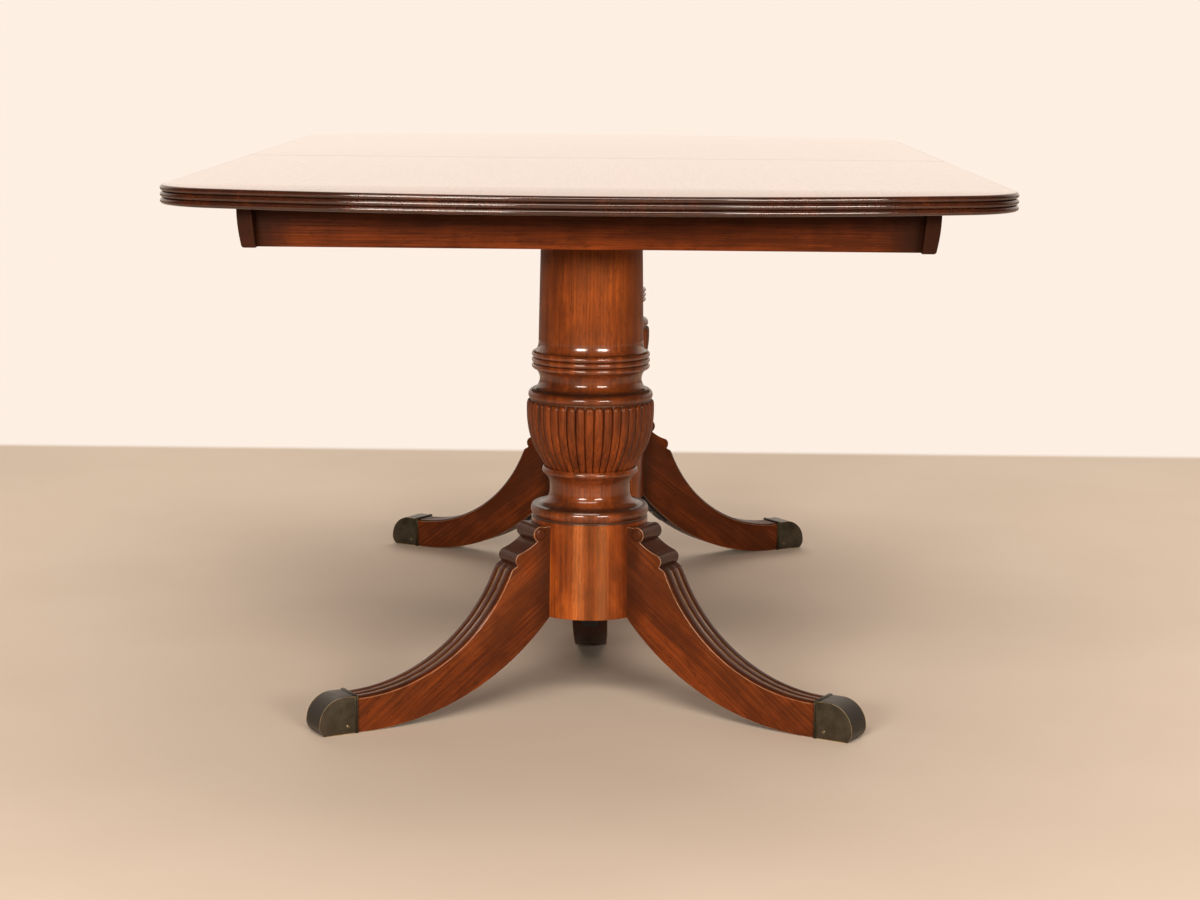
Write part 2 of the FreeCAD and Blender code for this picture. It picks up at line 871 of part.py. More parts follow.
def toe_cap():
    """Hollow brass cap with a moulded collar at its mouth."""
    half = leg_toe_width / 2 + cap_proud
    shell = moved(prism(cap_outline(0), V(0, half * 2, 0)), V(0, -half, 0))
    inner = half - cap_wall
    hollow = moved(prism(cap_outline(cap_wall), V(0, inner * 2, 0)), V(0, -inner, 0))
    rim = half + cap_collar_proud
    crown = leg_toe_height + cap_proud + cap_collar_proud
    collar = box(V(cap_mouth_r, -rim, 0), V(cap_mouth_r + cap_collar_width, rim, crown))
    edges = [e for e in collar.Edges if e.BoundBox.XLength < flat_limit and e.BoundBox.ZMin > flat_limit]
    collar = collar.makeFillet(cap_collar_proud, edges)
    cap = shell.fuse(collar).cut(hollow)
    pins = [
        rod(toe_pin_shank_radius + snug, place - inward * overrun, toe_pin_length + overrun, inward)
        for place, inward in toe_pin_places()
    ]
    return cap.cut(pins).removeSplitter()


def toe_pin_places():
    """Where the pins enter the sides of a cap, with their directions."""
    half = leg_toe_width / 2 + cap_proud
    place = V(cap_mouth_r + toe_pin_inset, 0, toe_pin_level)
    return [(place + V(0, side * half, 0), V(0, -side, 0)) for side in (-1, 1)]


def toe_pins():
    pins = []
    for place, inward in toe_pin_places():
        head = rod(toe_pin_radius, place - inward * toe_pin_head, toe_pin_head, inward)
        pins.append(head.fuse(rod(toe_pin_shank_radius, place, toe_pin_length, inward)).removeSplitter())
    return pins


# Iron strap

def strap_drum_hole():
    return small_screw_shank_radius + snug


def strap_drum_places():
    """Screws of the strap into the drum, between its three arms."""
    turns = [math.radians(leg_turn * (number + 0.5)) for number in range(3)]
    return [V(strap_drum_screw_radius * math.cos(t), strap_drum_screw_radius * math.sin(t), 0) for t in turns]


def strap_point(turn, depth):
    """A point on an arm of the strap, a little below the underside of its leg and a depth into the iron."""
    centre = at(leg_under_bottom_r, leg_sole_lift + leg_under_radius)
    return polar(centre, leg_under_radius + running + depth, -90 - turn)


def strap_leg_place():
    """Seat of the screw through an arm of the strap into the underside of a leg, and its direction."""
    turn = leg_sole_turn - strap_turn * strap_leg_screw_share
    seat = strap_point(turn, strap_thickness)
    return seat, (under_point(turn) - seat).normalize()


def strap():
    """Three-armed iron strap: flat under the drum, each arm bent to follow the underside of its leg."""
    thick = strap_thickness
    start = leg_sole_turn
    end = start - strap_turn
    middle = (start + end) / 2
    flat = drum_bottom
    knee = strap_point(start, 0)
    bend = math.sqrt((drum_radius - snug) ** 2 - (strap_width / 2) ** 2)
    edges = [
        line(at(0, flat), at(bend, flat)),
        line(at(bend, flat), at(bend, knee.z)),
        line(at(bend, knee.z), knee),
        arc(knee, strap_point(middle, 0), strap_point(end, 0)),
        line(strap_point(end, 0), strap_point(end, thick)),
        arc(strap_point(end, thick), strap_point(middle, thick), strap_point(start, thick)),
        line(strap_point(start, thick), at(bend - thick, flat - thick)),
        line(at(bend - thick, flat - thick), at(0, flat - thick)),
        line(at(0, flat - thick), at(0, flat)),
    ]
    arm = moved(prism(edges, V(0, strap_width, 0)), V(0, -strap_width / 2, 0))
    seat, direction = strap_leg_place()
    bite = strap_thickness + small_screw_bite
    arm = arm.cut(screw_bore(seat, direction, small_screw_shank_radius, bite))
    disc = rod(strap_disc_radius, V(0, 0, flat - thick), thick)
    arms = [turned(arm, leg_turn * number) for number in range(3)]
    plate = disc.fuse(arms).removeSplitter()
    hole = rod(strap_drum_hole(), V(0, 0, flat - thick - overrun), thick + overrun * 2)
    return plate.cut([moved(hole, place) for place in strap_drum_places()])


def strap_screws():
    seat, direction = strap_leg_place()
    bite = strap_thickness + small_screw_bite
    sizes = (small_screw_shank_radius, small_screw_head_radius, small_screw_head_height)
    tilted = screw(seat, direction, *sizes, bite)
    screws = [turned(tilted, leg_turn * number) for number in range(3)]
    for place in strap_drum_places():
        screws.append(screw(place + UP * (drum_bottom - strap_thickness), UP, *sizes, small_screw_bite))
    return screws


# Latches, drawn on the right of the table

def latch_plate(end):
    """Steel plate screwed under one half beside the seam."""
    low = underside - latch_plate_thickness
    half = latch_plate_half_width
    near = end * latch_plate_seam_setback
    far = end * latch_plate_end
    plate = box(V(latch_x - half, min(near, far), low), V(latch_x + half, max(near, far), underside))
    seats = latch_screw_places(end)
    bores = [screw_bore(seat, UP, small_screw_shank_radius, small_screw_bite) for seat in seats]
    return plate.cut(bores)


def lever_top():
    return underside - latch_plate_thickness - running


def headed_pin(place, radius):
    """A pin that hangs from a plate and carries a flat head below the lever."""
    depth = running * 2 + latch_lever_thickness
    level = underside - latch_plate_thickness
    shank = rod(radius, V(place.x, place.y, level - depth), depth)
    head = rod(latch_head_radius, V(place.x, place.y, level - depth - latch_head_height), latch_head_height)
    return shank.fuse(head).removeSplitter()


def latch_rivet():
    return headed_pin(V(latch_x, -latch_pivot_y, 0), latch_rivet_radius)


def latch_keeper():
    """Plate under the rear half with the stud that the hook takes."""
    return latch_plate(1).fuse(headed_pin(V(latch_x, latch_reach - latch_pivot_y, 0), latch_stud_radius))


def latch_lever():
    """Hook lever at rest, turned aside: its arm points across the table, away from the rail."""
    low = lever_top() - latch_lever_thickness
    thick = latch_lever_thickness
    eye = rod(latch_eye_radius, V(0, 0, low), thick)
    hook = rod(latch_hook_radius, V(-latch_reach, 0, low), thick)
    half = latch_arm_width / 2
    arm = box(V(-latch_reach, -half, low), V(0, half, low + thick))
    grip = latch_knob_height
    knob = rod(latch_knob_radius, V(-latch_reach / 2, 0, low - grip), grip)
    body = eye.fuse([hook, arm, knob]).removeSplitter()
    gap = latch_stud_radius + running
    depth = thick + overrun * 2
    ring = rod(latch_reach + gap, V(0, 0, low - overrun), depth)
    ring = ring.cut(rod(latch_reach - gap, V(0, 0, low - overrun), depth))
    sector = Part.makeCylinder(latch_reach * 2, depth, V(0, 0, low - overrun), UP, latch_slot_turn)
    slot = ring.common(turned(sector, 180 - latch_slot_turn))
    seat = rod(gap, V(-latch_reach, 0, low - overrun), depth)
    pivot = rod(latch_rivet_radius + latch_rivet_fit, V(0, 0, low - overrun), depth)
    return moved(body.cut([slot, seat, pivot]), V(latch_x, -latch_pivot_y, 0))


def latch_screws(end):
    sizes = (small_screw_shank_radius, small_screw_head_radius, small_screw_head_height)
    right = [screw(seat, UP, *sizes, small_screw_bite) for seat in latch_screw_places(end)]
    return group(right + [mirrored(item) for item in right])


# Assembly

def pedestal_pieces():
    """One pedestal round its own axis: its inward leg along +X, the first leg a third of a turn on."""
    limb = leg()
    cap = toe_cap()
    pins = toe_pins()
    legs = {}
    all_pins = []
    for name, turn in (("inner", 0), ("first", leg_turn), ("second", -leg_turn)):
        legs["leg_" + name] = turned(limb, turn)
        legs["toe_cap_" + name] = turned(cap, turn)
        all_pins += [turned(pin, turn) for pin in pins]
    pieces = {
        "column": column(),
        "toe_pins": group(all_pins),
        "strap": strap(),
        "strap_screws": group(strap_screws()),
    }
    pieces.update(legs)
    return pieces


def seat_pieces():
    """Bearers and board over one pedestal, round its axis."""
    return {
        "bearer_outer": bearer(bearer_places()[0]),
        "bearer_inner": bearer(bearer_places()[1]),
        "bearer_screws": bearer_screws(),
        "pedestal_board": pedestal_board(),
        "board_bolts": board_bolts(),
    }


def table():
    """Every piece of the table by name, in place."""
    pieces = {"seam_dowels": seam_dowels()}
    stand = pedestal_pieces()
    seat = seat_pieces()
    for end, half in ((-1, "front"), (1, "rear")):
        pieces["top_" + half] = top_half(end)
        pieces["end_apron_" + half] = end_apron(end)
        pieces["corner_blocks_" + half] = corner_blocks(end)
        pieces["runner_screws_" + half] = runner_screws(end)
        place = V(0, end * pedestal_y, 0)
        hands = ("left", "right") if end < 0 else ("right", "left")
        for name, shape in stand.items():
            name = name.replace("first", hands[0]).replace("second", hands[1])
            pieces[name + "_" + half] = moved(turned(shape, -90 * end), place)
        for name, shape in seat.items():
            pieces[name + "_" + half] = moved(turned(shape, 90 * (end + 1)), place)
        for side, hand in ((-1, "left"), (1, "right")):
            pieces["side_rail_" + half + "_" + hand] = side_rail(side, end)
            pieces["runner_" + half + "_" + hand] = outer_runner(side, end)
    for side, hand in ((-1, "left"), (1, "right")):
        pieces["runner_middle_" + hand] = middle_runner(side)
    for hand, place in (("right", lambda shape: shape), ("left", mirrored)):
        pieces["latch_plate_" + hand] = place(latch_plate(-1))
        pieces["latch_lever_" + hand] = place(latch_lever())
        pieces["latch_keeper_" + hand] = place(latch_keeper())
    pieces["latch_rivets"] = group([latch_rivet(), mirrored(latch_rivet())])
    pieces["latch_screws"] = latch_screws(-1)
    pieces["keeper_screws"] = latch_screws(1)
    return pieces


os.makedirs("parts", exist_ok=True)
for name, shape in table().items():
    shape.exportStep("parts/" + name + ".step")
    print(name, shape.isValid(), len(shape.Solids), round(shape.Volume / 1000, 1))
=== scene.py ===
import math

import bmesh
import bpy
import numpy as np
from mathutils import Matrix, Vector


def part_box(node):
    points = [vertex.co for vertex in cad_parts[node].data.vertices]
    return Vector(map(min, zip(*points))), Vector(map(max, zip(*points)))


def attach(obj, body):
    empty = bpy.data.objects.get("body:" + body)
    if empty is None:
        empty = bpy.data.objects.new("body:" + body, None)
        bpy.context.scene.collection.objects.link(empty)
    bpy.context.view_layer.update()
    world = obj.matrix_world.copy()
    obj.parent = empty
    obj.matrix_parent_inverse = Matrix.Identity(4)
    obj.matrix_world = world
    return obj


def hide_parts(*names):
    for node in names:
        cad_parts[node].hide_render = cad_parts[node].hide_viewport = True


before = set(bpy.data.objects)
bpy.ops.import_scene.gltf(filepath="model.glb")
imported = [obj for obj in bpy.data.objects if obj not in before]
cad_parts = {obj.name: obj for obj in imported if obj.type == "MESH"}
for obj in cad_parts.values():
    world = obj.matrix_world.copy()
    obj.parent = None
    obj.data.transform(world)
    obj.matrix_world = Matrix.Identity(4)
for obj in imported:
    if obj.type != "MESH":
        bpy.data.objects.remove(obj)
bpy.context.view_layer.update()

# Double pedestal dining table in mahogany. Metres, +Z up, the front half towards -Y.
MM = 0.001
HALVES = ("front", "rear")
HANDS = ("left", "right")
FACING = {"front": -1, "rear": 1}
LEG_AZIMUTHS = {
    "front": {"inner": 90, "left": 210, "right": 330},
    "rear": {"inner": 270, "left": 150, "right": 30},
}

# Top
top_low, top_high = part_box("top_front")
TOP_HALF_WIDTH = top_high.x
TOP_LEVEL = top_high.z
UNDERSIDE = top_low.z
TOP_END = -top_low.y
SEAM_SETBACK = -top_high.y
END_BOW_RADIUS = 1400 * MM
END_CORNER_RADIUS = 110 * MM
EDGE_REEDS = 3
EDGE_REED_STEPS = 10
EDGE_QUIRK = 0.7 * MM
# The edge is darker all over, and darkest in the quirks between its reeds, where it is painted shade.
EDGE_DARKENING = 0.80
EDGE_QUIRK_SHADE_POWER = 6
TOP_PLANK_SHIFT = 3.0
SEAM_EASING = 1.0 * MM
CORNER_STEPS = 20
BOW_STEPS = 56

# Apron
rail_low, rail_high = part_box("side_rail_front_right")
APRON_BOTTOM = rail_low.z
RAIL_HALF_WIDTH = rail_high.x
RAIL_LEAN = 5.5 * MM
RAIL_BOW = 1.6 * MM
RAIL_THICKNESS = 18 * MM
RAIL_CORNER_RADIUS = 4 * MM
RAIL_EASING = 1.0 * MM
RAIL_BOW_STEPS = 8
RAIL_CORNER_STEPS = 6
RAIL_PLANK_SHIFT = 0.7
END_GRAIN_STAIN = 0.82
APRON_EASING = 0.8 * MM
# Painted shadow of the top's overhang, darkest at the apron's top edge, and painted shade towards the side
# rails.
APRON_TOP_SHADOW = 1.0
APRON_END_SHADE = 0.85
APRON_END_REACH = 70 * MM
APRON_STEPS = 60
APRON_PLANK_SHIFT = 2.0

# Turned column, from the drum up
PEDESTAL_Y = {half: sum(corner.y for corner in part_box("column_" + half)) / 2 for half in HALVES}
DRUM_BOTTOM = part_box("column_front")[0].z
SHAFT_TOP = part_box("pedestal_board_front")[0].z
DRUM_RADIUS = 81.5 * MM
DRUM_TOP = DRUM_BOTTOM + 133.5 * MM
TURNING_STEPS = 144
MOULDING_STEPS = 14
TURNED_SHARP = 32
COLUMN_PLANK_SHIFT = 1.3
# Painted shade in the grooves and creases of the turning.
FULL_RECESS_TURN = 70
GROOVE_SPREAD = 3.0 * MM
CREASE_SPREAD = 6.0 * MM
# Stave tones that also paint shade on the column's sides, and painted shadow at the shaft's top under the
# board.
STAVE_TONES_AND_SHADE = (0.0, 0.52, 0.25, 0.15, 0.38)
STAVE_SEAM = 62
STAVE_BLEND = 7
SHAFT_TOP_SHADOW = 0.62
SHAFT_SHADOW_LENGTH = 105 * MM
SHAFT_SHADOW_STEPS = 10
QUIRK_DEPTH = 1.6 * MM
QUIRK_HEIGHT = 2.4 * MM
TORUS_RADIUS = 80 * MM
TORUS_BULGE = 2.4 * MM
TORUS_HEIGHT = 15 * MM
STEP_WIDTH = 3.2 * MM
WAIST_RADIUS = 56 * MM
WAIST_COVE_HEIGHT = 18 * MM
WAIST_COVE_DRAW = 6.0 * MM
WAIST_HEIGHT = 11 * MM
LIP_RADIUS = 66 * MM
LIP_FLARE_HEIGHT = 16 * MM
LIP_FLARE_DRAW = 1.8 * MM
LIP_HEIGHT = 8 * MM
LIP_BULGE = 1.5 * MM
LIP_GROOVE = 3 * MM
URN_HEIGHT = 97 * MM
URN_RADIUS = 88.9 * MM
URN_REEDS = 42
URN_REED_DEPTH = 3.4 * MM
URN_CORE_DROP = 4.4 * MM
URN_RADII_SHARES = (0.685, 0.742, 0.812, 0.884, 0.945, 0.985, 1.0, 1.0)
URN_LEVEL_SHARES = (0.0, 0.09, 0.19, 0.315, 0.47, 0.65, 0.83, 1.0)
URN_STEPS_PER_REED = 12
URN_LEVELS = 90
URN_VALLEY_SHADE_POWER = 1.7
URN_WELD = 0.01 * MM
URN_SHARP = 70
URN_GROOVE_HEIGHT = 2.2 * MM
BEAD_FOOT_RADIUS = 85 * MM
BEAD_SEAT_RADIUS = 80 * MM
BEAD_HEIGHT = 13.5 * MM
BEAD_BULGE = 3.95 * MM
NECK_MOUTH_RADIUS = 78 * MM
NECK_DRAW = 7 * MM
NECK_HEIGHT = 28 * MM
RINGS = 3
RING_FOOT_RADIUS = 79.2 * MM
RING_BULGE = 3 * MM
RING_HEIGHT = 8.2 * MM
SHAFT_FLARE_RADIUS = 76.3 * MM
SHAFT_FLARE_HEIGHT = 15 * MM
SHAFT_FLARE_DRAW = 1.0 * MM
SHAFT_FOOT_RADIUS = 72.9 * MM
SHAFT_TOP_RADIUS = 70.4 * MM

# Sabre legs, as distance from the column's axis and height
LEG_ROOT_RADIUS = 68 * MM
LEG_ROOT_WIDTH = 53 * MM
LEG_TOE_WIDTH = 43.6 * MM
LEG_TOE_HEIGHT = 50 * MM
LEG_HEAD_TOP = DRUM_TOP - 5.5 * MM
LEG_SOLE_LIFT = 0.5 * MM
LEG_HEEL_LEVEL = DRUM_BOTTOM - 0.5 * MM
LEG_SOLE_FLAT = 11 * MM
LEG_CREST_FLAT = 2 * MM
LEG_REEDS_START = (137.6 * MM, 203 * MM)
LEG_REEDS = 3
LEG_REED_DEPTH = 3 * MM
LEG_REED_STEPS = 16
LEG_NOSE_LENGTH = 8 * MM
LEG_NOSE_STEPS = 6
LEG_EASING = 0.9 * MM
LEG_EASING_SHARE = 0.3
LEG_SHARP = 45
LEG_GRAIN_SLOPE = 37
# Painted shade on the scroll heads and undersides, and over the reeds, deepest in their valleys.
SCROLL_SHADE = 0.78
REED_SHADE = 0.66
REED_SHADE_POWER = 3
# Pale lines on the reeds' inner flanks are painted highlights; the arrises carry wear that is partly a
# painted highlight.
REED_GLINT = 0.34
LEG_ARRIS_WEAR_AND_GLINT = 0.55
# Painted shade on the leg's underside; any value above zero gives it the scroll's shade.
SOLE_SHADE = 0.85
# Painted shade on the legs near the drum reaches this far out.
ROOT_SHADE_REACH = 34 * MM
UPPER_SCROLL = (91 * MM, 248 * MM)
UPPER_SCROLL_RADIUS = 11 * MM
UPPER_SCROLL_TURNS = (115.8, -60)
SCROLL_EYE_RADIUS = 8.8 * MM
SCROLL_EYE_PROUD = 1.2 * MM
SCROLL_EYE_STEPS = 36
SCROLL_EYE_SHARES = ((1.0, -0.3), (0.9, 0.15), (0.78, 0.7), (0.58, 1.0), (0.25, 1.05))
# Painted shade in the groove round each eye, thinning towards its dome.
SCROLL_EYE_SHADES = (1.0, 1.0, 0.3, 0.0, 0.0)
LOWER_SCROLL = (120 * MM, 214 * MM)
LOWER_SCROLL_RADIUS = 10 * MM
LOWER_SCROLL_TURNS = (68, -48)
SCROLL_COVE_DRAW = 1.5 * MM
SCROLL_COVE_STEPS = 10
SCROLL_STEPS = 22
SWEEP_STEPS = 64

# Fasteners
WELD = 0.001 * MM
MEASURE_SLACK = 10 * WELD
SCREW_SEED = 7
SCREW_SIDES = 24
SCREW_SHARP = 35
HEAD_FOOT_SHARE = 0.45
HEAD_TIP_SHARE = 0.72
SLOT_WIDTH_SHARE = 0.26
SLOT_LENGTH_SHARE = 2.4
FASTENER_SIZES = ("Head Radius", "Head Height", "Shank Radius", "Shank Length")

# Brass toe caps
CAP_MOUTH = 366 * MM
CAP_LENGTH = 56 * MM
CAP_HALF_WIDTH = 23 * MM
CAP_CROWN = 51.2 * MM
CAP_NOSE_LEVEL = 18.5 * MM
CAP_SOLE_BACK = 8 * MM
CAP_TOP_BACK = 33 * MM
CAP_TOE_BULGE = 3.2 * MM
CAP_CROWN_BULGE = 8.7 * MM
CAP_EASING = 1.4 * MM
CAP_EASING_STEPS = 4
CAP_STEPS = 14
CAP_SHARP = 45
COLLAR_BEADS = 2
COLLAR_BEAD = 2.1 * MM
COLLAR_PITCH = 2.9 * MM
COLLAR_PROUD = 1.1 * MM
COLLAR_EASING = 0.7 * MM
COLLAR_WEAR = 0.12
COLLAR_STAIN = 0.8
# Painted shade over the cap's sole, toe and crown.
CAP_TOE_SHADE = 0.85

# Boards and edges in general
EASING_STEPS = 2
CRISP_TURN = 50
PLAIN_SHARP = 38
STRAIGHT = 1e-9
STEP_SLACK = 1e-6


class Value:
    """A number, colour or vector on its way through a node tree. Arithmetic on it adds Math nodes."""

    def __init__(self, graph, socket):
        self.graph = graph
        self.socket = socket

    def output(self, name):
        """Another output of the same node."""
        return Value(self.graph, self.socket.node.outputs[name])

    def math(self, operation, first, second):
        return self.graph.node("ShaderNodeMath", {"operation": operation}, {0: first, 1: second})

    def __add__(self, other):
        return self.math("ADD", self, other)

    __radd__ = __add__

    def __sub__(self, other):
        return self.math("SUBTRACT", self, other)

    def __rsub__(self, other):
        return self.math("SUBTRACT", other, self)

    def __mul__(self, other):
        return self.math("MULTIPLY", self, other)

    __rmul__ = __mul__

    def __truediv__(self, other):
        return self.math("DIVIDE", self, other)

    def __rtruediv__(self, other):
        return self.math("DIVIDE", other, self)

    def __pow__(self, other):
        return self.math("POWER", self, other)

    def __rpow__(self, other):
        return self.math("POWER", other, self)


class Graph:
    """A node tree being drawn up: one method adds a node, sets it and wires it."""

    def __init__(self, tree):
        self.tree = tree

    def node(self, kind, settings=None, inputs=None, output=0):
        made = self.tree.nodes.new(kind)
        for key, value in (settings or {}).items():
            if key == "stops":
                set_stops(made.color_ramp, value)
            elif key == "bends":
                set_bends(made.mapping, value)
            else:
                setattr(made, key, value)
        for key, value in (inputs or {}).items():
            self.feed(made.inputs[key], value)
        return Value(self, made.outputs[output]) if made.outputs else None

    def feed(self, socket, value):
        """Wires a value, or each of several, to a socket, or sets the socket to a constant."""
        if isinstance(value, list):
            for single in value:
                self.feed(socket, single)
        elif isinstance(value, Value):
            self.tree.links.new(value.socket, socket)
        else:
            socket.default_value = value

    def step(self, value, low, high):
        """0 below low, 1 above high, and smooth between."""
        return self.node(
            "ShaderNodeMapRange", {"interpolation_type": "SMOOTHSTEP"},
            {"Value": value, "From Min": low, "From Max": high})

    def mix(self, first, second, share):
        """One colour turning into another; the node's colour sockets have no names of their own."""
        settings = {"data_type": "RGBA"}
        return self.node("ShaderNodeMix", settings, {0: share, 6: first, 7: second}, output=2)

    def stretch(self, vector, scales):
        """A place measured in other units along each direction."""
        return self.node("ShaderNodeVectorMath", {"operation": "MULTIPLY"}, {0: vector, 1: scales})

    def cloud(self, vector, scales, detail=2.0, distortion=0.0):
        """Noise from 0 to 1, with so many features to the metre along each direction."""
        return self.node("ShaderNodeTexNoise", {}, {
            "Vector": self.stretch(vector, scales), "Scale": 1.0, "Detail": detail, "Distortion": distortion})

    def apart(self, vector):
        """A place with its signs dropped, so both sides of the middle read alike."""
        return self.node("ShaderNodeVectorMath", {"operation": "ABSOLUTE"}, {0: vector})


def set_stops(ramp, stops):
    """Sets the colours of a ramp at their places."""
    while len(ramp.elements) < len(stops):
        ramp.elements.new(1.0)
    for element, (place, shade) in zip(ramp.elements, stops):
        element.position = place
        element.color = shade


def set_bends(mapping, points):
    """Leads a curve through points."""
    curve = mapping.curves[0]
    while len(curve.points) < len(points):
        curve.points.new(0.5, 0.5)
    for point, place in zip(curve.points, points):
        point.location = place
    mapping.update()


class Finish(Graph):
    """A material with a single Principled surface."""

    def __init__(self, name):
        self.material = bpy.data.materials.new(name)
        self.material.use_nodes = True
        super().__init__(self.material.node_tree)
        self.surface = self.tree.nodes["Principled BSDF"]

    def place(self):
        return self.node("ShaderNodeTexCoord", output="Object")

    def attribute(self, name, output="Fac"):
        return self.node("ShaderNodeAttribute", {"attribute_name": name}, output=output)

    def set(self, **values):
        """Sets or wires the surface's own sockets; an underscore stands for a space."""
        for key, value in values.items():
            self.feed(self.surface.inputs[key.replace("_", " ")], value)

    def bump(self, height, distance, strength):
        return self.node("ShaderNodeBump", {}, {"Strength": strength, "Distance": distance, "Height": height})


# Finishes

def colour(red, green, blue):
    return (red, green, blue, 1.0)


MAHOGANY_DARK = colour(0.060, 0.0130, 0.0038)
MAHOGANY_MID = colour(0.168, 0.0335, 0.0060)
MAHOGANY_LIGHT = colour(0.33, 0.072, 0.0105)
MAHOGANY_PORE = colour(0.040, 0.009, 0.003)
# Dark for painted shade and the stain of end grain; pale for wear and for painted highlights.
MAHOGANY_SHADE_AND_STAIN = colour(0.016, 0.0060, 0.0036)
MAHOGANY_WORN_AND_GLINT = colour(0.60, 0.37, 0.21)
WARM_SHEEN = colour(1.0, 0.36, 0.11)

# Figure of the mahogany: features to the metre along and across the grain
BROAD_FIGURE = (1.6, 11.0, 11.0)
BANDS = (1.1, 58.0, 58.0)
STREAKS = (8.0, 430.0, 430.0)
PORES = (55.0, 1500.0, 1500.0)
RIPPLE = (40.0, 9.0, 9.0)
MOTTLE = (20.0, 46.0, 46.0)
FLECKS = (95.0, 380.0, 380.0)
RUBBING = (60.0, 160.0, 160.0)

# How far each part of the figure sways the tone, and where its marks start and are full
BROAD_SWAY = 1.5
BANDS_SWAY = 0.9
STREAKS_SWAY = 1.1
RIPPLE_SWAY = 0.25
MOTTLE_SWAY = 0.9
PORE_LIMITS = (0.57, 0.70)
FLECK_LIMITS = (0.56, 0.72)
SHADE_AND_STAIN_LIMITS = (0.05, 1.0)
RUB_LIMITS = (0.30, 0.58)
PORE_SHARE = 0.34
FLECK_SHARE = 0.52
SHADE_AND_STAIN_SHARE = 0.9
ROOT_SHADE_SHARE = 0.62
WORN_AND_GLINT_SHARE = 0.85
UNRUBBED_SHARE = 0.45
GRAIN_RELIEF = 0.12 * MM
BRUSHED_TURN = 0.25


def sway(cloud, strength):
    """Noise turned to swing about zero."""
    return (cloud - 0.5) * strength


def mahogany(
        name, shift, coat=0.5, coat_roughness=0.10, roughness=0.50, sheen=0.03, brushed=0.0, index=1.5,
        figure=1.0, shaded_root=False):
    """Lacquered mahogany: grain, pores, painted shade in the recesses and wherever a piece marks it, and worn
    arrises that on the legs are also painted highlights.
    """
    finish = Finish(name)
    grain = finish.attribute("grain", output="Vector")
    broad = finish.cloud(grain, BROAD_FIGURE, detail=3.0, distortion=0.5)
    bands = finish.cloud(grain, BANDS, distortion=0.8)
    streaks = finish.cloud(grain, STREAKS, detail=3.0)
    ripple = finish.cloud(grain, RIPPLE, detail=1.0)
    mottle = finish.cloud(grain, MOTTLE, detail=4.0, distortion=0.6)
    tone = sway(broad, BROAD_SWAY * figure) + sway(bands, BANDS_SWAY * figure) + sway(streaks, STREAKS_SWAY)
    tone = tone + shift + sway(ripple, RIPPLE_SWAY) + sway(mottle, MOTTLE_SWAY * figure)
    stops = [(0.0, MAHOGANY_DARK), (0.5, MAHOGANY_MID), (1.0, MAHOGANY_LIGHT)]
    wood = finish.node("ShaderNodeValToRGB", {"stops": stops}, {"Fac": tone})
    flecks = finish.step(finish.cloud(grain, FLECKS), *FLECK_LIMITS)
    pores = finish.step(finish.cloud(grain, PORES, detail=1.0), *PORE_LIMITS)
    wood = finish.mix(wood, MAHOGANY_PORE, pores * PORE_SHARE + flecks * FLECK_SHARE)
    # Painted shade, and the stain of end grain, where the piece marks them.
    glaze = finish.step(finish.attribute("glaze"), *SHADE_AND_STAIN_LIMITS)
    wood = finish.mix(wood, MAHOGANY_SHADE_AND_STAIN, glaze * SHADE_AND_STAIN_SHARE)
    # Painted shade on the legs near the drums.
    if shaded_root:
        wood = finish.mix(wood, MAHOGANY_SHADE_AND_STAIN, root_shade(finish) * ROOT_SHADE_SHARE)
    # Pale wear along the arrises; on the legs' reed flanks it is a painted highlight, and on their arrises
    # partly one.
    rub = finish.step(finish.cloud(grain, RUBBING), *RUB_LIMITS)
    worn_and_glinting = finish.attribute("wear") * (UNRUBBED_SHARE + rub * (1.0 - UNRUBBED_SHARE))
    wood = finish.mix(wood, MAHOGANY_WORN_AND_GLINT, worn_and_glinting * WORN_AND_GLINT_SHARE)
    finish.set(
        Base_Color=wood,
        Roughness=roughness + sway(streaks, 0.16) + pores * 0.12,
        Coat_Weight=coat - pores * 0.2,
        Coat_Roughness=coat_roughness,
        Coat_IOR=index,
        Specular_IOR_Level=sheen,
        Specular_Tint=WARM_SHEEN,
        Anisotropic=brushed,
        Anisotropic_Rotation=BRUSHED_TURN,
        Normal=finish.bump(streaks * 0.3 - pores * 0.7, GRAIN_RELIEF, strength=0.5),
    )
    return finish.material


def root_shade(finish):
    """Painted shade on the legs where they meet the drum of either column, fading outwards."""
    axis = (0.0, PEDESTAL_Y["rear"], 0.0)
    from_axis = finish.node(
        "ShaderNodeVectorMath", {"operation": "SUBTRACT"}, {0: finish.apart(finish.place()), 1: axis})
    level = finish.stretch(from_axis, (1.0, 1.0, 0.0))
    reach = finish.node("ShaderNodeVectorMath", {"operation": "LENGTH"}, {0: level}, output="Value")
    return 1.0 - finish.step(reach, DRUM_RADIUS, DRUM_RADIUS + ROOT_SHADE_REACH)


MAPLE_TONES = (colour(0.40, 0.24, 0.11), colour(0.52, 0.34, 0.17), colour(0.60, 0.42, 0.23))
POPLAR_TONES = (colour(0.30, 0.20, 0.10), colour(0.42, 0.30, 0.16), colour(0.50, 0.37, 0.21))
BIRCH_TONES = (colour(0.52, 0.37, 0.20), colour(0.62, 0.46, 0.27), colour(0.68, 0.53, 0.33))
TONE_PLACES = (0.1, 0.5, 0.9)
GRAIN_ALONG_X = (0.03, 1.0, 1.0)
GRAIN_ALONG_Y = (1.0, 0.03, 1.0)
SAWN_BROAD = 14.0
SAWN_LINES = 190.0
SAWN_FIBRES = 1100.0
SOIL = (7.0, 7.0, 7.0)
SOIL_LIMITS = (0.48, 0.72)
SOIL_SHARE = 0.6
SAWN_RELIEF = 0.15 * MM


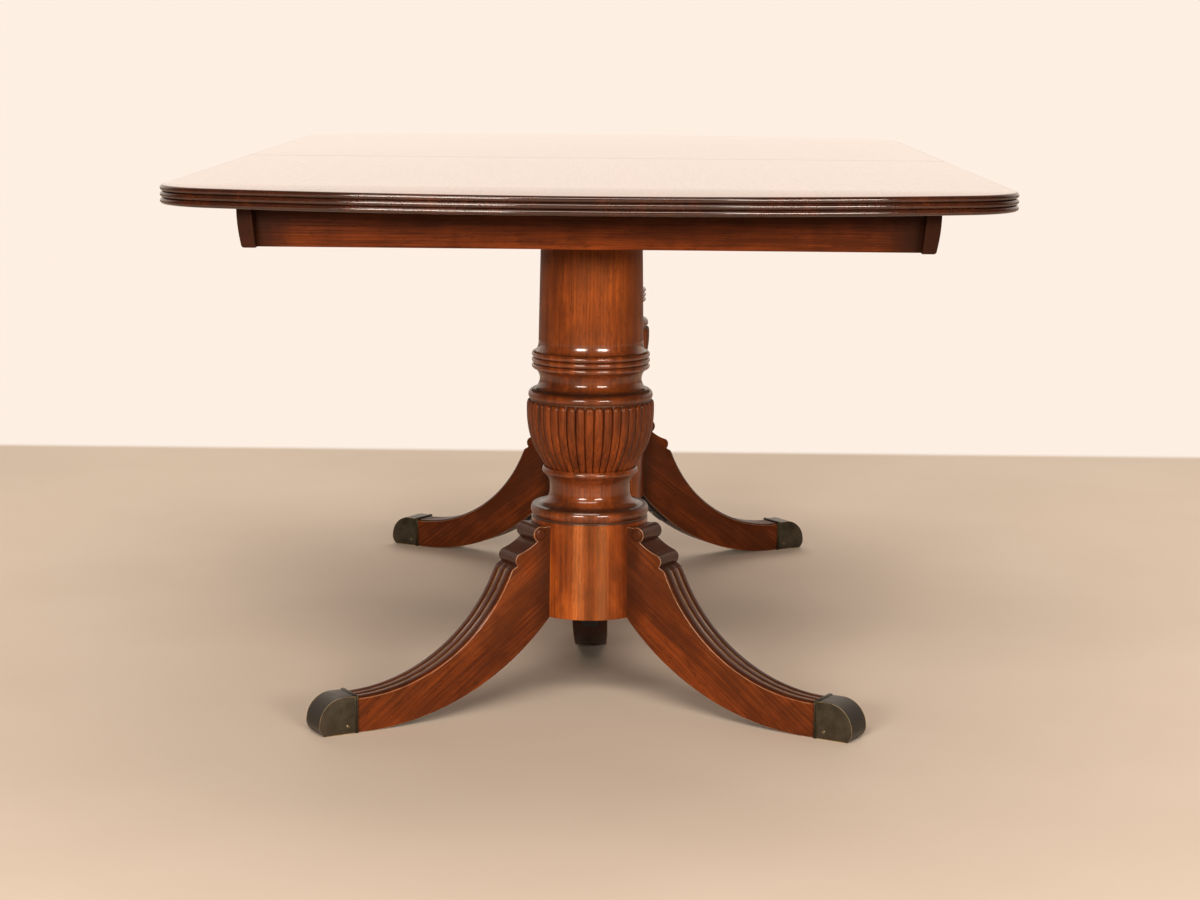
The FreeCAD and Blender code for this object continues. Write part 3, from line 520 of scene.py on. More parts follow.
def bare_wood(name, tones, along):
    """Sawn and planed wood with no lacquer, its grain along the direction of the smallest share."""
    finish = Finish(name)
    place = finish.place()
    broad = finish.cloud(place, tuple(share * SAWN_BROAD for share in along), detail=3.0, distortion=0.4)
    lines = finish.cloud(place, tuple(share * SAWN_LINES for share in along), detail=3.0)
    fibres = finish.cloud(place, tuple(share * SAWN_FIBRES for share in along), detail=1.0)
    soil = finish.step(finish.cloud(place, SOIL, detail=3.0), *SOIL_LIMITS)
    tone = sway(broad, 1.2) + sway(lines, 1.1) + sway(fibres, 0.5) + 0.5
    stops = list(zip(TONE_PLACES, tones))
    wood = finish.node("ShaderNodeValToRGB", {"stops": stops}, {"Fac": tone})
    finish.set(
        Base_Color=finish.mix(wood, tones[0], soil * SOIL_SHARE),
        Roughness=0.62 + sway(fibres, 0.25),
        Normal=finish.bump(fibres * 0.6 + lines * 0.4, SAWN_RELIEF, strength=0.6),
    )
    return finish.material


BRASS_PATINA = colour(0.060, 0.046, 0.027)
BRASS_DEEP = colour(0.020, 0.016, 0.010)
BRASS_BARE = colour(0.56, 0.40, 0.17)
BRASS_RUBBED = colour(0.17, 0.125, 0.06)
PATINA_CLOUDS = (70.0, 70.0, 70.0)
PATINA_LIMITS = (0.30, 0.66)
PATINA_LEAST = 0.45
BRASS_SPECKS = (900.0, 900.0, 900.0)
BARE_LIMITS = (0.20, 0.52)
BARE_SHARE = 0.95
SPECK_LIMITS = (0.66, 0.74)
SPECK_SHARE = 0.25
PATINA_AND_SHADE_SHARE = 0.85
BRASS_COAT = 0.40
METAL_RELIEF = 0.06 * MM


def aged_brass(name, tone):
    """Cast brass gone dark and olive, darker still where a piece marks patina and painted shade, and rubbed
    bright along its arrises.
    """
    finish = Finish(name)
    place = finish.place()
    clouds = finish.cloud(place, PATINA_CLOUDS, detail=4.0)
    specks = finish.cloud(place, BRASS_SPECKS)
    patina = PATINA_LEAST + finish.step(clouds, *PATINA_LIMITS) * (1.0 - PATINA_LEAST)
    bare = finish.attribute("wear") * finish.step(specks, *BARE_LIMITS)
    # Patina on the collar beads and painted shade on the toe, as the piece marks them.
    patina_and_shade = finish.attribute("glaze")
    metal = finish.mix(finish.mix(BRASS_DEEP, tone, patina), BRASS_DEEP, patina_and_shade * PATINA_AND_SHADE_SHARE)
    rubbed = bare * BARE_SHARE + finish.step(specks, *SPECK_LIMITS) * SPECK_SHARE
    finish.set(
        Base_Color=finish.mix(metal, BRASS_BARE, rubbed),
        Metallic=0.72 + patina_and_shade * 0.20 + bare * 0.08,
        Roughness=0.38 + sway(clouds, 0.2) - bare * 0.12,
        Coat_Weight=BRASS_COAT - patina_and_shade * BRASS_COAT,
        Coat_Roughness=0.20,
        Normal=finish.bump(clouds * 0.5 + specks * 0.5, METAL_RELIEF, strength=0.4),
    )
    return finish.material


STEEL_DULL = colour(0.34, 0.34, 0.33)
STEEL_BRIGHT = colour(0.52, 0.51, 0.49)
STEEL_STAIN = colour(0.16, 0.11, 0.07)
SPANGLE = (240.0, 240.0, 240.0)
STEEL_STAINS = (40.0, 40.0, 40.0)
STEEL_STAIN_LIMITS = (0.55, 0.75)
STEEL_STAIN_SHARE = 0.6


def plated_steel(name):
    """Zinc plated steel dulled by age."""
    finish = Finish(name)
    place = finish.place()
    spangle = finish.cloud(place, SPANGLE, detail=3.0)
    darkening = finish.step(finish.cloud(place, STEEL_STAINS, detail=3.0), *STEEL_STAIN_LIMITS)
    metal = finish.mix(STEEL_DULL, STEEL_BRIGHT, spangle)
    finish.set(
        Base_Color=finish.mix(metal, STEEL_STAIN, darkening * STEEL_STAIN_SHARE),
        Metallic=0.95 - darkening * 0.3,
        Roughness=0.36 + sway(spangle, 0.25),
        Normal=finish.bump(spangle, METAL_RELIEF, strength=0.4),
    )
    return finish.material


IRON_BLACK = colour(0.012, 0.012, 0.013)
IRON_GREY = colour(0.045, 0.042, 0.040)
IRON_RUST = colour(0.12, 0.045, 0.018)
IRON_SCALE = (180.0, 180.0, 180.0)
RUST_PATCHES = (60.0, 60.0, 60.0)
RUST_LIMITS = (0.58, 0.74)
RUST_SHARE = 0.5
SCALE_RELIEF = 0.2 * MM


def blackened_iron(name):
    """Forged iron with a black scale and a trace of rust."""
    finish = Finish(name)
    place = finish.place()
    scale = finish.cloud(place, IRON_SCALE, detail=4.0)
    rust = finish.step(finish.cloud(place, RUST_PATCHES, detail=4.0), *RUST_LIMITS)
    iron = finish.mix(IRON_BLACK, IRON_GREY, scale)
    finish.set(
        Base_Color=finish.mix(iron, IRON_RUST, rust * RUST_SHARE),
        Metallic=0.6,
        Roughness=0.55 + sway(scale, 0.3),
        Normal=finish.bump(scale, SCALE_RELIEF, strength=0.5),
    )
    return finish.material


# Working geometry into pieces

def arc_points(centre, radius, start, end, steps):
    """Points along a circle drawn in a flat plane, turns in degrees."""
    turns = [math.radians(start + (end - start) * number / steps) for number in range(steps + 1)]
    return [(centre[0] + radius * math.cos(turn), centre[1] + radius * math.sin(turn)) for turn in turns]


def bowed(start, end, bulge, steps):
    """Points along an arc from start to end that stands off its chord, to the right for a positive bulge."""
    first, last = Vector(start), Vector(end)
    chord = last - first
    aside = Vector((chord.y, -chord.x)).normalized()
    half = chord.length / 2
    if abs(bulge) < STRAIGHT:
        return [tuple(first), tuple(last)]
    radius = (half ** 2 + bulge ** 2) / (2 * abs(bulge))
    reach = math.asin(min(1.0, half / radius))
    points = []
    for number in range(steps + 1):
        turn = reach * (2 * number / steps - 1)
        along = radius * math.sin(turn)
        rise = radius * (math.cos(turn) - math.cos(reach)) * math.copysign(1, bulge)
        points.append(tuple((first + last) / 2 + chord.normalized() * along + aside * rise))
    return points


def soft_rise(value, low, high):
    """0 below low, 1 above high, and a soft rise between."""
    share = max(0.0, min(1.0, (value - low) / (high - low)))
    return share * share * (3 - 2 * share)


class Work:
    """A piece being made: its mesh with the layers for painted shade and stain, for edge wear and painted
    highlights, and for grain.
    """

    def __init__(self, mesh=None):
        self.bm = bmesh.new()
        if mesh:
            self.bm.from_mesh(mesh)
        layers = self.bm.verts.layers
        self.glaze = layers.float.get("glaze") or layers.float.new("glaze")
        self.wear = layers.float.new("wear")
        self.grain = layers.float_vector.new("grain")

    def vertex(self, place, glaze=0.0, wear=0.0):
        vertex = self.bm.verts.new(place)
        vertex[self.glaze] = glaze
        vertex[self.wear] = wear
        return vertex

    def face(self, vertices, smooth=True, finish=0):
        face = self.bm.faces.new(vertices)
        face.smooth = smooth
        face.material_index = finish
        return face

    def skin(self, rows, closed=False, finish=0):
        """Faces between neighbouring rows of as many vertices each."""
        for first, second in zip(rows, rows[1:]):
            count = len(first)
            for number in range(count if closed else count - 1):
                after = (number + 1) % count
                self.face([first[number], first[after], second[after], second[number]], finish=finish)

    def ease(self, edges, offset, segments=EASING_STEPS, wear=1.0):
        """Rounds edges a little; the middle of each rounding is worn."""
        made = bmesh.ops.bevel(
            self.bm, geom=edges, offset=offset, segments=segments, profile=0.5, affect="EDGES",
            clamp_overlap=True)
        fresh = set(made["faces"])
        for face in fresh:
            face.smooth = True
        for vertex in self.bm.verts:
            if vertex.link_faces and all(face in fresh for face in vertex.link_faces):
                vertex[self.wear] = wear

    def lay_grain(self, to_grain):
        """Records for every vertex where it lies in its plank, first along the grain."""
        for vertex in self.bm.verts:
            vertex[self.grain] = to_grain(vertex.co)

    def move(self, matrix):
        self.bm.transform(matrix)

    def done(self, name, finishes, body, slot, stands_for=(), sharp=PLAIN_SHARP):
        """Turns the work into a piece of the table."""
        bmesh.ops.recalc_face_normals(self.bm, faces=self.bm.faces)
        mesh = bpy.data.meshes.new(name)
        self.bm.to_mesh(mesh)
        self.bm.free()
        mesh.set_sharp_from_angle(angle=math.radians(sharp))
        return place_piece(name, mesh, finishes, body, stands_for)


def place_piece(name, mesh, finishes, body, stands_for=()):
    """A finished mesh as a piece that rides its half of the table."""
    for finish in finishes:
        if finish.name not in mesh.materials:
            mesh.materials.append(finish)
    made = bpy.data.objects.new(name, mesh)
    bpy.context.scene.collection.objects.link(made)
    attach(made, body)
    if stands_for:
        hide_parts(*stands_for)
    return made


# Top

def half_outline(inset):
    """Plan of the front half of the top drawn in by an inset, from the seam round the bowed end."""
    bow_y = END_BOW_RADIUS - TOP_END
    corner_x = TOP_HALF_WIDTH - END_CORNER_RADIUS
    spread = END_BOW_RADIUS - END_CORNER_RADIUS
    corner_y = bow_y - math.sqrt(spread ** 2 - corner_x ** 2)
    lean = math.degrees(math.atan2(corner_x, bow_y - corner_y))
    radius = END_CORNER_RADIUS - inset
    flank = TOP_HALF_WIDTH - inset
    outline = [(-flank, -SEAM_SETBACK)]
    outline += arc_points((-corner_x, corner_y), radius, 180, 270 - lean, CORNER_STEPS)
    outline += arc_points((0, bow_y), END_BOW_RADIUS - inset, 270 - lean, 270 + lean, BOW_STEPS)[1:-1]
    outline += arc_points((corner_x, corner_y), radius, 270 + lean, 360, CORNER_STEPS)
    outline.append((flank, -SEAM_SETBACK))
    return outline


def edge_profile():
    """The reeded edge as insets, levels and darkening, from the underside up; at the quirks the darkening is
    painted shade.
    """
    reed = (TOP_LEVEL - UNDERSIDE) / EDGE_REEDS
    profile = []
    for number in range(EDGE_REEDS):
        for step in range(EDGE_REED_STEPS + 1):
            turn = math.pi * (step / EDGE_REED_STEPS - 0.5)
            inset = reed / 2 * (1 - math.cos(turn))
            level = UNDERSIDE + reed * (number + 0.5 + 0.5 * math.sin(turn))
            outer = number == 0 and step == 0 or number == EDGE_REEDS - 1 and step == EDGE_REED_STEPS
            at_quirk = step in (0, EDGE_REED_STEPS) and not outer
            if at_quirk and step == 0:
                continue
            if at_quirk:
                inset += EDGE_QUIRK
            # Painted shade deepens towards the quirks.
            depth = abs(2 * step / EDGE_REED_STEPS - 1) ** EDGE_QUIRK_SHADE_POWER
            profile.append((inset, level, 0.0 if outer else EDGE_DARKENING + (1 - EDGE_DARKENING) * depth))
    return profile


def top_half(half, finishes):
    """One half of the top, its edge worked into three reeds."""
    work = Work()
    rows = []
    for inset, level, glaze in edge_profile():
        rows.append([work.vertex((x, y, level), glaze) for x, y in half_outline(inset)])
    work.skin(rows, finish=2)
    work.face(rows[0], smooth=False, finish=1)
    over = work.face(rows[-1], smooth=False)
    work.face([row[0] for row in rows] + [row[-1] for row in reversed(rows)], smooth=False, finish=1)
    eased_from = (0, -SEAM_SETBACK - SEAM_EASING, 0)
    bmesh.ops.bisect_plane(
        work.bm, geom=[over, *over.edges, *over.verts], plane_co=eased_from, plane_no=(0, 1, 0))
    for corner in (rows[-1][0], rows[-1][-1]):
        corner.co.z -= SEAM_EASING
    shift = FACING[half] * TOP_PLANK_SHIFT
    work.lay_grain(lambda place: (place.y, place.x + shift, place.z))
    if half == "rear":
        work.move(Matrix.Rotation(math.pi, 4, "Z"))
    return work.done("top_leaf_" + half, finishes, half + "_half", "top_mahogany", ["top_" + half])


# Apron

def board(outline, stations, axis):
    """A board of one flat section, drawn in the plane across its axis and carried along it."""
    work = Work()
    rows = []
    for along in stations:
        if axis == "Y":
            rows.append([work.vertex((x, along, z)) for x, z in outline])
        else:
            rows.append([work.vertex((along, y, z)) for y, z in outline])
    work.skin(rows, closed=True)
    for row in (rows[0], rows[-1]):
        work.face(row, smooth=False)
    return work


def crisp_edges(work):
    """Edges where a piece turns sharply."""
    limit = math.radians(CRISP_TURN)
    return [edge for edge in work.bm.edges if len(edge.link_faces) == 2 and edge.calc_face_angle() > limit]


def side_rail(half, hand, finish):
    """A side rail that leans in towards its foot, with a bowed face and a round lower corner."""
    node = "side_rail_" + half + "_" + hand
    low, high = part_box(node)
    side = 1 if hand == "right" else -1
    top_out = (RAIL_HALF_WIDTH, UNDERSIDE)
    foot = RAIL_HALF_WIDTH - RAIL_LEAN
    shoulder = (foot, APRON_BOTTOM + RAIL_CORNER_RADIUS)
    outline = bowed(top_out, shoulder, -RAIL_BOW, RAIL_BOW_STEPS)
    corner = (foot - RAIL_CORNER_RADIUS, APRON_BOTTOM + RAIL_CORNER_RADIUS)
    outline += arc_points(corner, RAIL_CORNER_RADIUS, 0, -90, RAIL_CORNER_STEPS)[1:]
    outline += [(foot - RAIL_THICKNESS, APRON_BOTTOM), (RAIL_HALF_WIDTH - RAIL_THICKNESS, UNDERSIDE)]
    outline = [(side * x, z) for x, z in outline]
    work = board(outline, (low.y, high.y), "Y")
    work.ease(crisp_edges(work), RAIL_EASING)
    for vertex in work.bm.verts:
        if vertex.co.y in (low.y, high.y):
            vertex[work.glaze] = END_GRAIN_STAIN
    shift = RAIL_PLANK_SHIFT * side + FACING[half]
    work.lay_grain(lambda place: (place.y, place.x + shift, place.z))
    return work.done(node + "_moulded", [finish], half + "_half", "mahogany", [node])


def end_apron(half, finish):
    """The cross board between the side rails, with painted shadow from its top edge down and painted shade
    towards the rails.
    """
    node = "end_apron_" + half
    low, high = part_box(node)
    outline = [(low.y, low.z), (high.y, low.z), (high.y, high.z), (low.y, high.z)]
    stations = [low.x + (high.x - low.x) * number / APRON_STEPS for number in range(APRON_STEPS + 1)]
    work = board(outline, stations, "X")
    # Painted shadow all along the top edge, and painted shade near the rails.
    for vertex in work.bm.verts:
        from_rail = high.x - abs(vertex.co.x)
        end_shade = APRON_END_SHADE * (1 - soft_rise(from_rail, 0.0, APRON_END_REACH))
        if vertex.co.z < (low.z + high.z) / 2:
            vertex.co.x *= 1 - RAIL_LEAN / high.x
            vertex[work.glaze] = end_shade
        else:
            vertex[work.glaze] = max(APRON_TOP_SHADOW, end_shade)
    work.ease(crisp_edges(work), APRON_EASING)
    shift = FACING[half] * APRON_PLANK_SHIFT
    work.lay_grain(lambda place: (place.x + shift, place.z, place.y))
    return work.done(node + "_board", [finish], half + "_half", "mahogany", [node])


# Column

def column_profile():
    """Half section of the turned column from the drum's foot up, and the levels where its zones start."""
    profile = [(0.0, DRUM_BOTTOM)]
    starts = {}

    def go(radius, rise):
        profile.append((radius, profile[-1][1] + rise))

    def sweep(radius, rise, bulge):
        start = profile[-1]
        profile.extend(bowed(start, (radius, start[1] + rise), bulge, MOULDING_STEPS)[1:])

    go(DRUM_RADIUS, 0)
    go(DRUM_RADIUS, DRUM_TOP - DRUM_BOTTOM - GROOVE_SPREAD)
    go(DRUM_RADIUS, GROOVE_SPREAD)
    go(DRUM_RADIUS - QUIRK_DEPTH, 0)
    go(DRUM_RADIUS - QUIRK_DEPTH, QUIRK_HEIGHT)
    go(TORUS_RADIUS, 0)
    sweep(TORUS_RADIUS, TORUS_HEIGHT, TORUS_BULGE)
    go(TORUS_RADIUS - STEP_WIDTH, 0)
    starts["waist"] = profile[-1][1]
    sweep(WAIST_RADIUS, WAIST_COVE_HEIGHT, -WAIST_COVE_DRAW)
    go(WAIST_RADIUS, WAIST_HEIGHT)
    sweep(LIP_RADIUS, LIP_FLARE_HEIGHT, -LIP_FLARE_DRAW)
    sweep(LIP_RADIUS - LIP_BULGE, LIP_HEIGHT, LIP_BULGE)
    starts["urn"] = profile[-1][1] - LIP_GROOVE
    for share, level in zip(URN_RADII_SHARES, URN_LEVEL_SHARES):
        profile.append((URN_RADIUS * share - URN_CORE_DROP, starts["urn"] + URN_HEIGHT * level))
    go(URN_RADIUS - URN_CORE_DROP, URN_GROOVE_HEIGHT)
    go(BEAD_FOOT_RADIUS, 0)
    sweep(BEAD_SEAT_RADIUS, BEAD_HEIGHT, BEAD_BULGE)
    go(NECK_MOUTH_RADIUS, 0)
    starts["neck"] = profile[-1][1]
    sweep(NECK_MOUTH_RADIUS, NECK_HEIGHT, -NECK_DRAW)
    go(RING_FOOT_RADIUS, 0)
    starts["rings"] = profile[-1][1]
    for number in range(RINGS):
        sweep(RING_FOOT_RADIUS, RING_HEIGHT, RING_BULGE)
    go(SHAFT_FLARE_RADIUS, 0)
    sweep(SHAFT_FOOT_RADIUS, SHAFT_FLARE_HEIGHT, -SHAFT_FLARE_DRAW)
    foot = starts["shaft"] = profile[-1][1]
    # Extra rows carry the painted shadow at the shaft's top.
    first = 1 - SHAFT_SHADOW_LENGTH / (SHAFT_TOP - foot)
    for number in range(SHAFT_SHADOW_STEPS + 1):
        share = first + (1 - first) * number / SHAFT_SHADOW_STEPS
        radius = SHAFT_FOOT_RADIUS + (SHAFT_TOP_RADIUS - SHAFT_FOOT_RADIUS) * share
        profile.append((radius, foot + (SHAFT_TOP - foot) * share))
    go(0.0, 0)
    return profile, starts


def recess_shade(profile, creases):
    """How much painted shade each point of a turned profile takes, near hollow turns of its line and at the
    creases.
    """
    depths = [0.0] * len(profile)
    for number in range(1, len(profile) - 1):
        before = Vector(profile[number]) - Vector(profile[number - 1])
        after = Vector(profile[number + 1]) - Vector(profile[number])
        if before.length > 0 and after.length > 0:
            hollow = before.angle_signed(after, 0.0)
            depths[number] = max(0.0, min(1.0, hollow / math.radians(FULL_RECESS_TURN)))
    spread = []
    for place in profile:
        near = [(Vector(place) - Vector(other)).length for other in profile]
        groove = max(depth * max(0.0, 1 - gap / GROOVE_SPREAD) for depth, gap in zip(depths, near))
        crease = max(max(0.0, 1 - abs(place[1] - level) / CREASE_SPREAD) for level in creases)
        spread.append(max(groove, crease))
    return spread


def column_tone_and_shade(half, x, y, level):
    """Darkening of the column's wood: stave tones that also paint shade on its sides, and painted shadow up
    under the board.
    """
    turn = math.degrees(math.atan2(y, x)) + STAVE_SEAM + (180 if half == "rear" else 0)
    width = 360 / len(STAVE_TONES_AND_SHADE)
    place = turn % 360 / width
    here = STAVE_TONES_AND_SHADE[math.ceil(place) % len(STAVE_TONES_AND_SHADE)]
    before = STAVE_TONES_AND_SHADE[math.floor(place)]
    share = soft_rise(place % 1, 0.0, STAVE_BLEND / width)
    stave = before + (here - before) * share
    return max(stave, SHAFT_TOP_SHADOW * soft_rise(level, SHAFT_TOP - SHAFT_SHADOW_LENGTH, SHAFT_TOP))


def turned_column(half, finishes):
    """The turned column without its reeds, which lie over the core at the urn."""
    profile, starts = column_profile()
    work = Work()
    rows = []
    # Each vertex takes the darker of its recess's painted shade and its stave tone, shade and shadow.
    for (radius, level), glaze in zip(profile, recess_shade(profile, (starts["waist"], starts["neck"]))):
        if radius == 0.0:
            rows.append([work.vertex((0, 0, level))])
            continue
        row = []
        for x, y in arc_points((0, 0), radius, 0, 360, TURNING_STEPS)[:-1]:
            darkening = 0.0 if level < DRUM_TOP else column_tone_and_shade(half, x, y, level)
            row.append(work.vertex((x, y, level), max(glaze, darkening)))
        rows.append(row)
    work.skin(rows[1:-1], closed=True)
    zone_tops = (DRUM_TOP, starts["rings"], starts["shaft"])
    for face in work.bm.faces:
        level = face.calc_center_median().z
        face.material_index = sum(level > top for top in zone_tops)
    for tip, ring in ((rows[0][0], rows[1]), (rows[-1][0], rows[-2])):
        for first, second in zip(ring, ring[1:] + ring[:1]):
            work.face([tip, first, second])
    stand_on_pedestal(work, half)
    name = "turned_column_" + half
    return work.done(name, finishes, half + "_half", "mahogany", ["column_" + half], sharp=TURNED_SHARP)


def stand_on_pedestal(work, half):
    """Runs the grain up the column and moves the work to its half's pedestal."""
    shift = FACING[half] * COLUMN_PLANK_SHIFT
    work.lay_grain(lambda place: (place.z + shift, place.x, place.y))
    work.move(Matrix.Translation((0, PEDESTAL_Y[half], 0)))


def urn_tree(finish):
    """Node tree of the reeded urn: a sheet rolled into a bowl, its wall raised into round-nosed reeds, with
    painted shade in their valleys.
    """
    tree = bpy.data.node_groups.new("reeded_urn", "GeometryNodeTree")
    sizes = {"Radius": URN_RADIUS, "Height": URN_HEIGHT, "Foot Level": 0.0, "Reed Depth": URN_REED_DEPTH}
    counts = {"Reeds": URN_REEDS, "Steps per Reed": URN_STEPS_PER_REED, "Levels": URN_LEVELS}
    for name, value in sizes.items():
        tree.interface.new_socket(name, in_out="INPUT", socket_type="NodeSocketFloat").default_value = value
    for name, value in counts.items():
        tree.interface.new_socket(name, in_out="INPUT", socket_type="NodeSocketInt").default_value = value
    tree.interface.new_socket("Urn", in_out="OUTPUT", socket_type="NodeSocketGeometry")
    graph = Graph(tree)
    given = graph.node("NodeGroupInput")
    size = {name: given.output(name) for name in (*sizes, *counts)}

    around = size["Reeds"] * size["Steps per Reed"] + 1
    sheet = graph.node("GeometryNodeMeshGrid", {}, {
        "Size X": 1.0, "Size Y": 1.0, "Vertices X": around, "Vertices Y": size["Levels"]})
    place = graph.node("ShaderNodeSeparateXYZ", {}, {0: graph.node("GeometryNodeInputPosition")})
    round_share = place.output("X") + 0.5
    level_share = place.output("Y") + 0.5

    bends = list(zip(URN_LEVEL_SHARES, URN_RADII_SHARES))
    radius = graph.node("ShaderNodeFloatCurve", {"bends": bends}, {"Value": level_share}) * size["Radius"]
    turn = round_share * (2 * math.pi)
    reed_share = graph.node("ShaderNodeMath", {"operation": "FRACT"}, {0: round_share * size["Reeds"]})
    across = reed_share * 2.0 - 1.0
    half_reed = radius * math.pi / size["Reeds"]
    below_top = (1.0 - level_share) * size["Height"]
    nose = graph.node("ShaderNodeMath", {"operation": "MAXIMUM"}, {0: 1.0 - below_top / half_reed, 1: 0.0})
    from_ridge = across * across + nose * nose
    swell = graph.node("ShaderNodeMath", {"operation": "MAXIMUM"}, {0: 1.0 - from_ridge, 1: 0.0}) ** 0.5
    wall = radius - size["Reed Depth"] * (1.0 - swell)

    cosine = graph.node("ShaderNodeMath", {"operation": "COSINE"}, {0: turn})
    sine = graph.node("ShaderNodeMath", {"operation": "SINE"}, {0: turn})
    level = level_share * size["Height"] + size["Foot Level"]
    spot = graph.node("ShaderNodeCombineXYZ", {}, {0: wall * cosine, 1: wall * sine, 2: level})
    # Painted shade in the valleys between the reeds.
    stored = graph.node(
        "GeometryNodeStoreNamedAttribute", {"data_type": "FLOAT", "domain": "POINT"},
        {"Geometry": sheet, "Name": "glaze", "Value": (1.0 - swell) ** URN_VALLEY_SHADE_POWER})
    bowl = graph.node("GeometryNodeSetPosition", {}, {"Geometry": stored, "Position": spot})
    closed = graph.node("GeometryNodeMergeByDistance", {}, {"Geometry": bowl, "Distance": URN_WELD})
    solid = graph.node("GeometryNodeRealizeInstances", {}, {"Geometry": closed})
    coated = graph.node("GeometryNodeSetMaterial", {}, {"Geometry": solid, "Material": finish})
    graph.node("NodeGroupOutput", {}, {0: coated})
    return tree


def grown(name, tree, inputs, start_mesh=None):
    """The plain mesh that a node tree makes with the given inputs."""
    holder = bpy.data.objects.new(name, start_mesh or bpy.data.meshes.new(name + "_start"))
    bpy.context.scene.collection.objects.link(holder)
    modifier = holder.modifiers.new("recipe", "NODES")
    modifier.node_group = tree
    for item in tree.interface.items_tree:
        if item.in_out == "INPUT" and item.name in inputs:
            modifier[item.identifier] = inputs[item.name]
    graph = bpy.context.evaluated_depsgraph_get()
    mesh = bpy.data.meshes.new_from_object(holder.evaluated_get(graph), depsgraph=graph)
    holder.modifiers.clear()
    bpy.data.objects.remove(holder)
    return mesh


def reeded_urn(half, finish, tree):
    """The urn's ring of round-nosed reeds, over the core of its column."""
    urn_foot = column_profile()[1]["urn"]
    work = Work(grown("urn_reeds_" + half, tree, {"Foot Level": urn_foot}))
    for face in work.bm.faces:
        face.smooth = True
    # The column's stave tones, painted shade and painted shadow carry on over the reeds.
    for vertex in work.bm.verts:
        vertex[work.glaze] = max(vertex[work.glaze], column_tone_and_shade(half, *vertex.co))
    stand_on_pedestal(work, half)
    return work.done("urn_reeds_" + half, [finish], half + "_half", "mahogany", sharp=URN_SHARP)


# Legs

def leg_half_width(distance):
    """Half the leg's width, which tapers from the drum to the toe cap."""
    share = max(0.0, (distance - DRUM_RADIUS) / (CAP_MOUTH - DRUM_RADIUS))
    return (LEG_ROOT_WIDTH + (LEG_TOE_WIDTH - LEG_ROOT_WIDTH) * share) / 2


def leg_upper_line():
    """Side view of the leg's upper line from the drum to the toe cap, and how far the reeds stand up."""
    line = [(LEG_ROOT_RADIUS, LEG_HEAD_TOP)]
    line += arc_points(UPPER_SCROLL, UPPER_SCROLL_RADIUS, *UPPER_SCROLL_TURNS, SCROLL_STEPS)
    second = arc_points(LOWER_SCROLL, LOWER_SCROLL_RADIUS, *LOWER_SCROLL_TURNS, SCROLL_STEPS)
    line += bowed(line[-1], second[0], SCROLL_COVE_DRAW, SCROLL_COVE_STEPS)[1:-1]
    line += second
    head = [(point, 0.0) for point in line]
    lowest = CAP_MOUTH - LEG_CREST_FLAT
    run = lowest - LEG_REEDS_START[0]
    rise = LEG_REEDS_START[1] - LEG_TOE_HEIGHT
    crest_radius = (run ** 2 + rise ** 2) / (2 * rise)
    reach = math.degrees(math.asin(run / crest_radius))
    floor_radius = crest_radius + LEG_REED_DEPTH
    centre = (lowest, LEG_TOE_HEIGHT + crest_radius)
    sweep = arc_points(centre, floor_radius, 270 - reach, 270, SWEEP_STEPS)
    nose_turn = math.degrees(LEG_NOSE_LENGTH / floor_radius)
    nose = arc_points(centre, floor_radius, 270 - reach, 270 - reach + nose_turn, LEG_NOSE_STEPS)
    rising = []
    for number, point in enumerate(nose):
        share = number / (len(nose) - 1)
        rising.append((point, math.sqrt(1 - (1 - share) ** 2)))
    rest = [(point, 1.0) for point in sweep if point[0] > nose[-1][0] + STEP_SLACK]
    rest.append(((CAP_MOUTH, LEG_TOE_HEIGHT - LEG_REED_DEPTH), 1.0))
    return head + rising + rest


def leg_lower_line():
    """Side view of the leg's underside, from the toe cap back to the drum."""
    lowest = CAP_MOUTH - LEG_SOLE_FLAT
    run = lowest - math.sqrt(DRUM_RADIUS ** 2 - (LEG_ROOT_WIDTH / 2) ** 2)
    rise = LEG_HEEL_LEVEL - LEG_SOLE_LIFT
    radius = (run ** 2 + rise ** 2) / (2 * rise)
    reach = math.degrees(math.asin((lowest - LEG_ROOT_RADIUS) / radius))
    line = [(CAP_MOUTH, LEG_SOLE_LIFT)]
    return line + arc_points((lowest, LEG_SOLE_LIFT + radius), radius, 270, 270 - reach, SWEEP_STEPS)


def outward_normals(points):
    """Unit normals on the left of a line of points."""
    normals = []
    for number in range(len(points)):
        before = Vector(points[max(0, number - 1)])
        after = Vector(points[min(len(points) - 1, number + 1)])
        run = (after - before).normalized()
        normals.append(Vector((-run.y, run.x)))
    return normals


def reed_crossing():
    """Shares across the leg's width, with the height of the reeds, the painted shade and the painted
    highlight there.
    """
    crossing = []
    for number in range(LEG_REEDS):
        for step in range(LEG_REED_STEPS + 1):
            if step == 0 and number > 0:
                continue
            across = 2 * step / LEG_REED_STEPS - 1
            share = (number + step / LEG_REED_STEPS) / LEG_REEDS
            at_side = share in (0, 1)
            flank = step in (1, LEG_REED_STEPS - 1)
            outer_flank = number == 0 and step == 1 or number == LEG_REEDS - 1 and step == LEG_REED_STEPS - 1
            height = math.sqrt(max(0.0, 1 - across ** 2))
            # Painted shade over the reeds, deepest in their valleys; a painted highlight on each inner flank.
            darkening = 0.0 if at_side else REED_SHADE + (1 - REED_SHADE) * abs(across) ** REED_SHADE_POWER
            crossing.append((share * 2 - 1, height, darkening, REED_GLINT if flank and not outer_flank else 0.0))
    return crossing


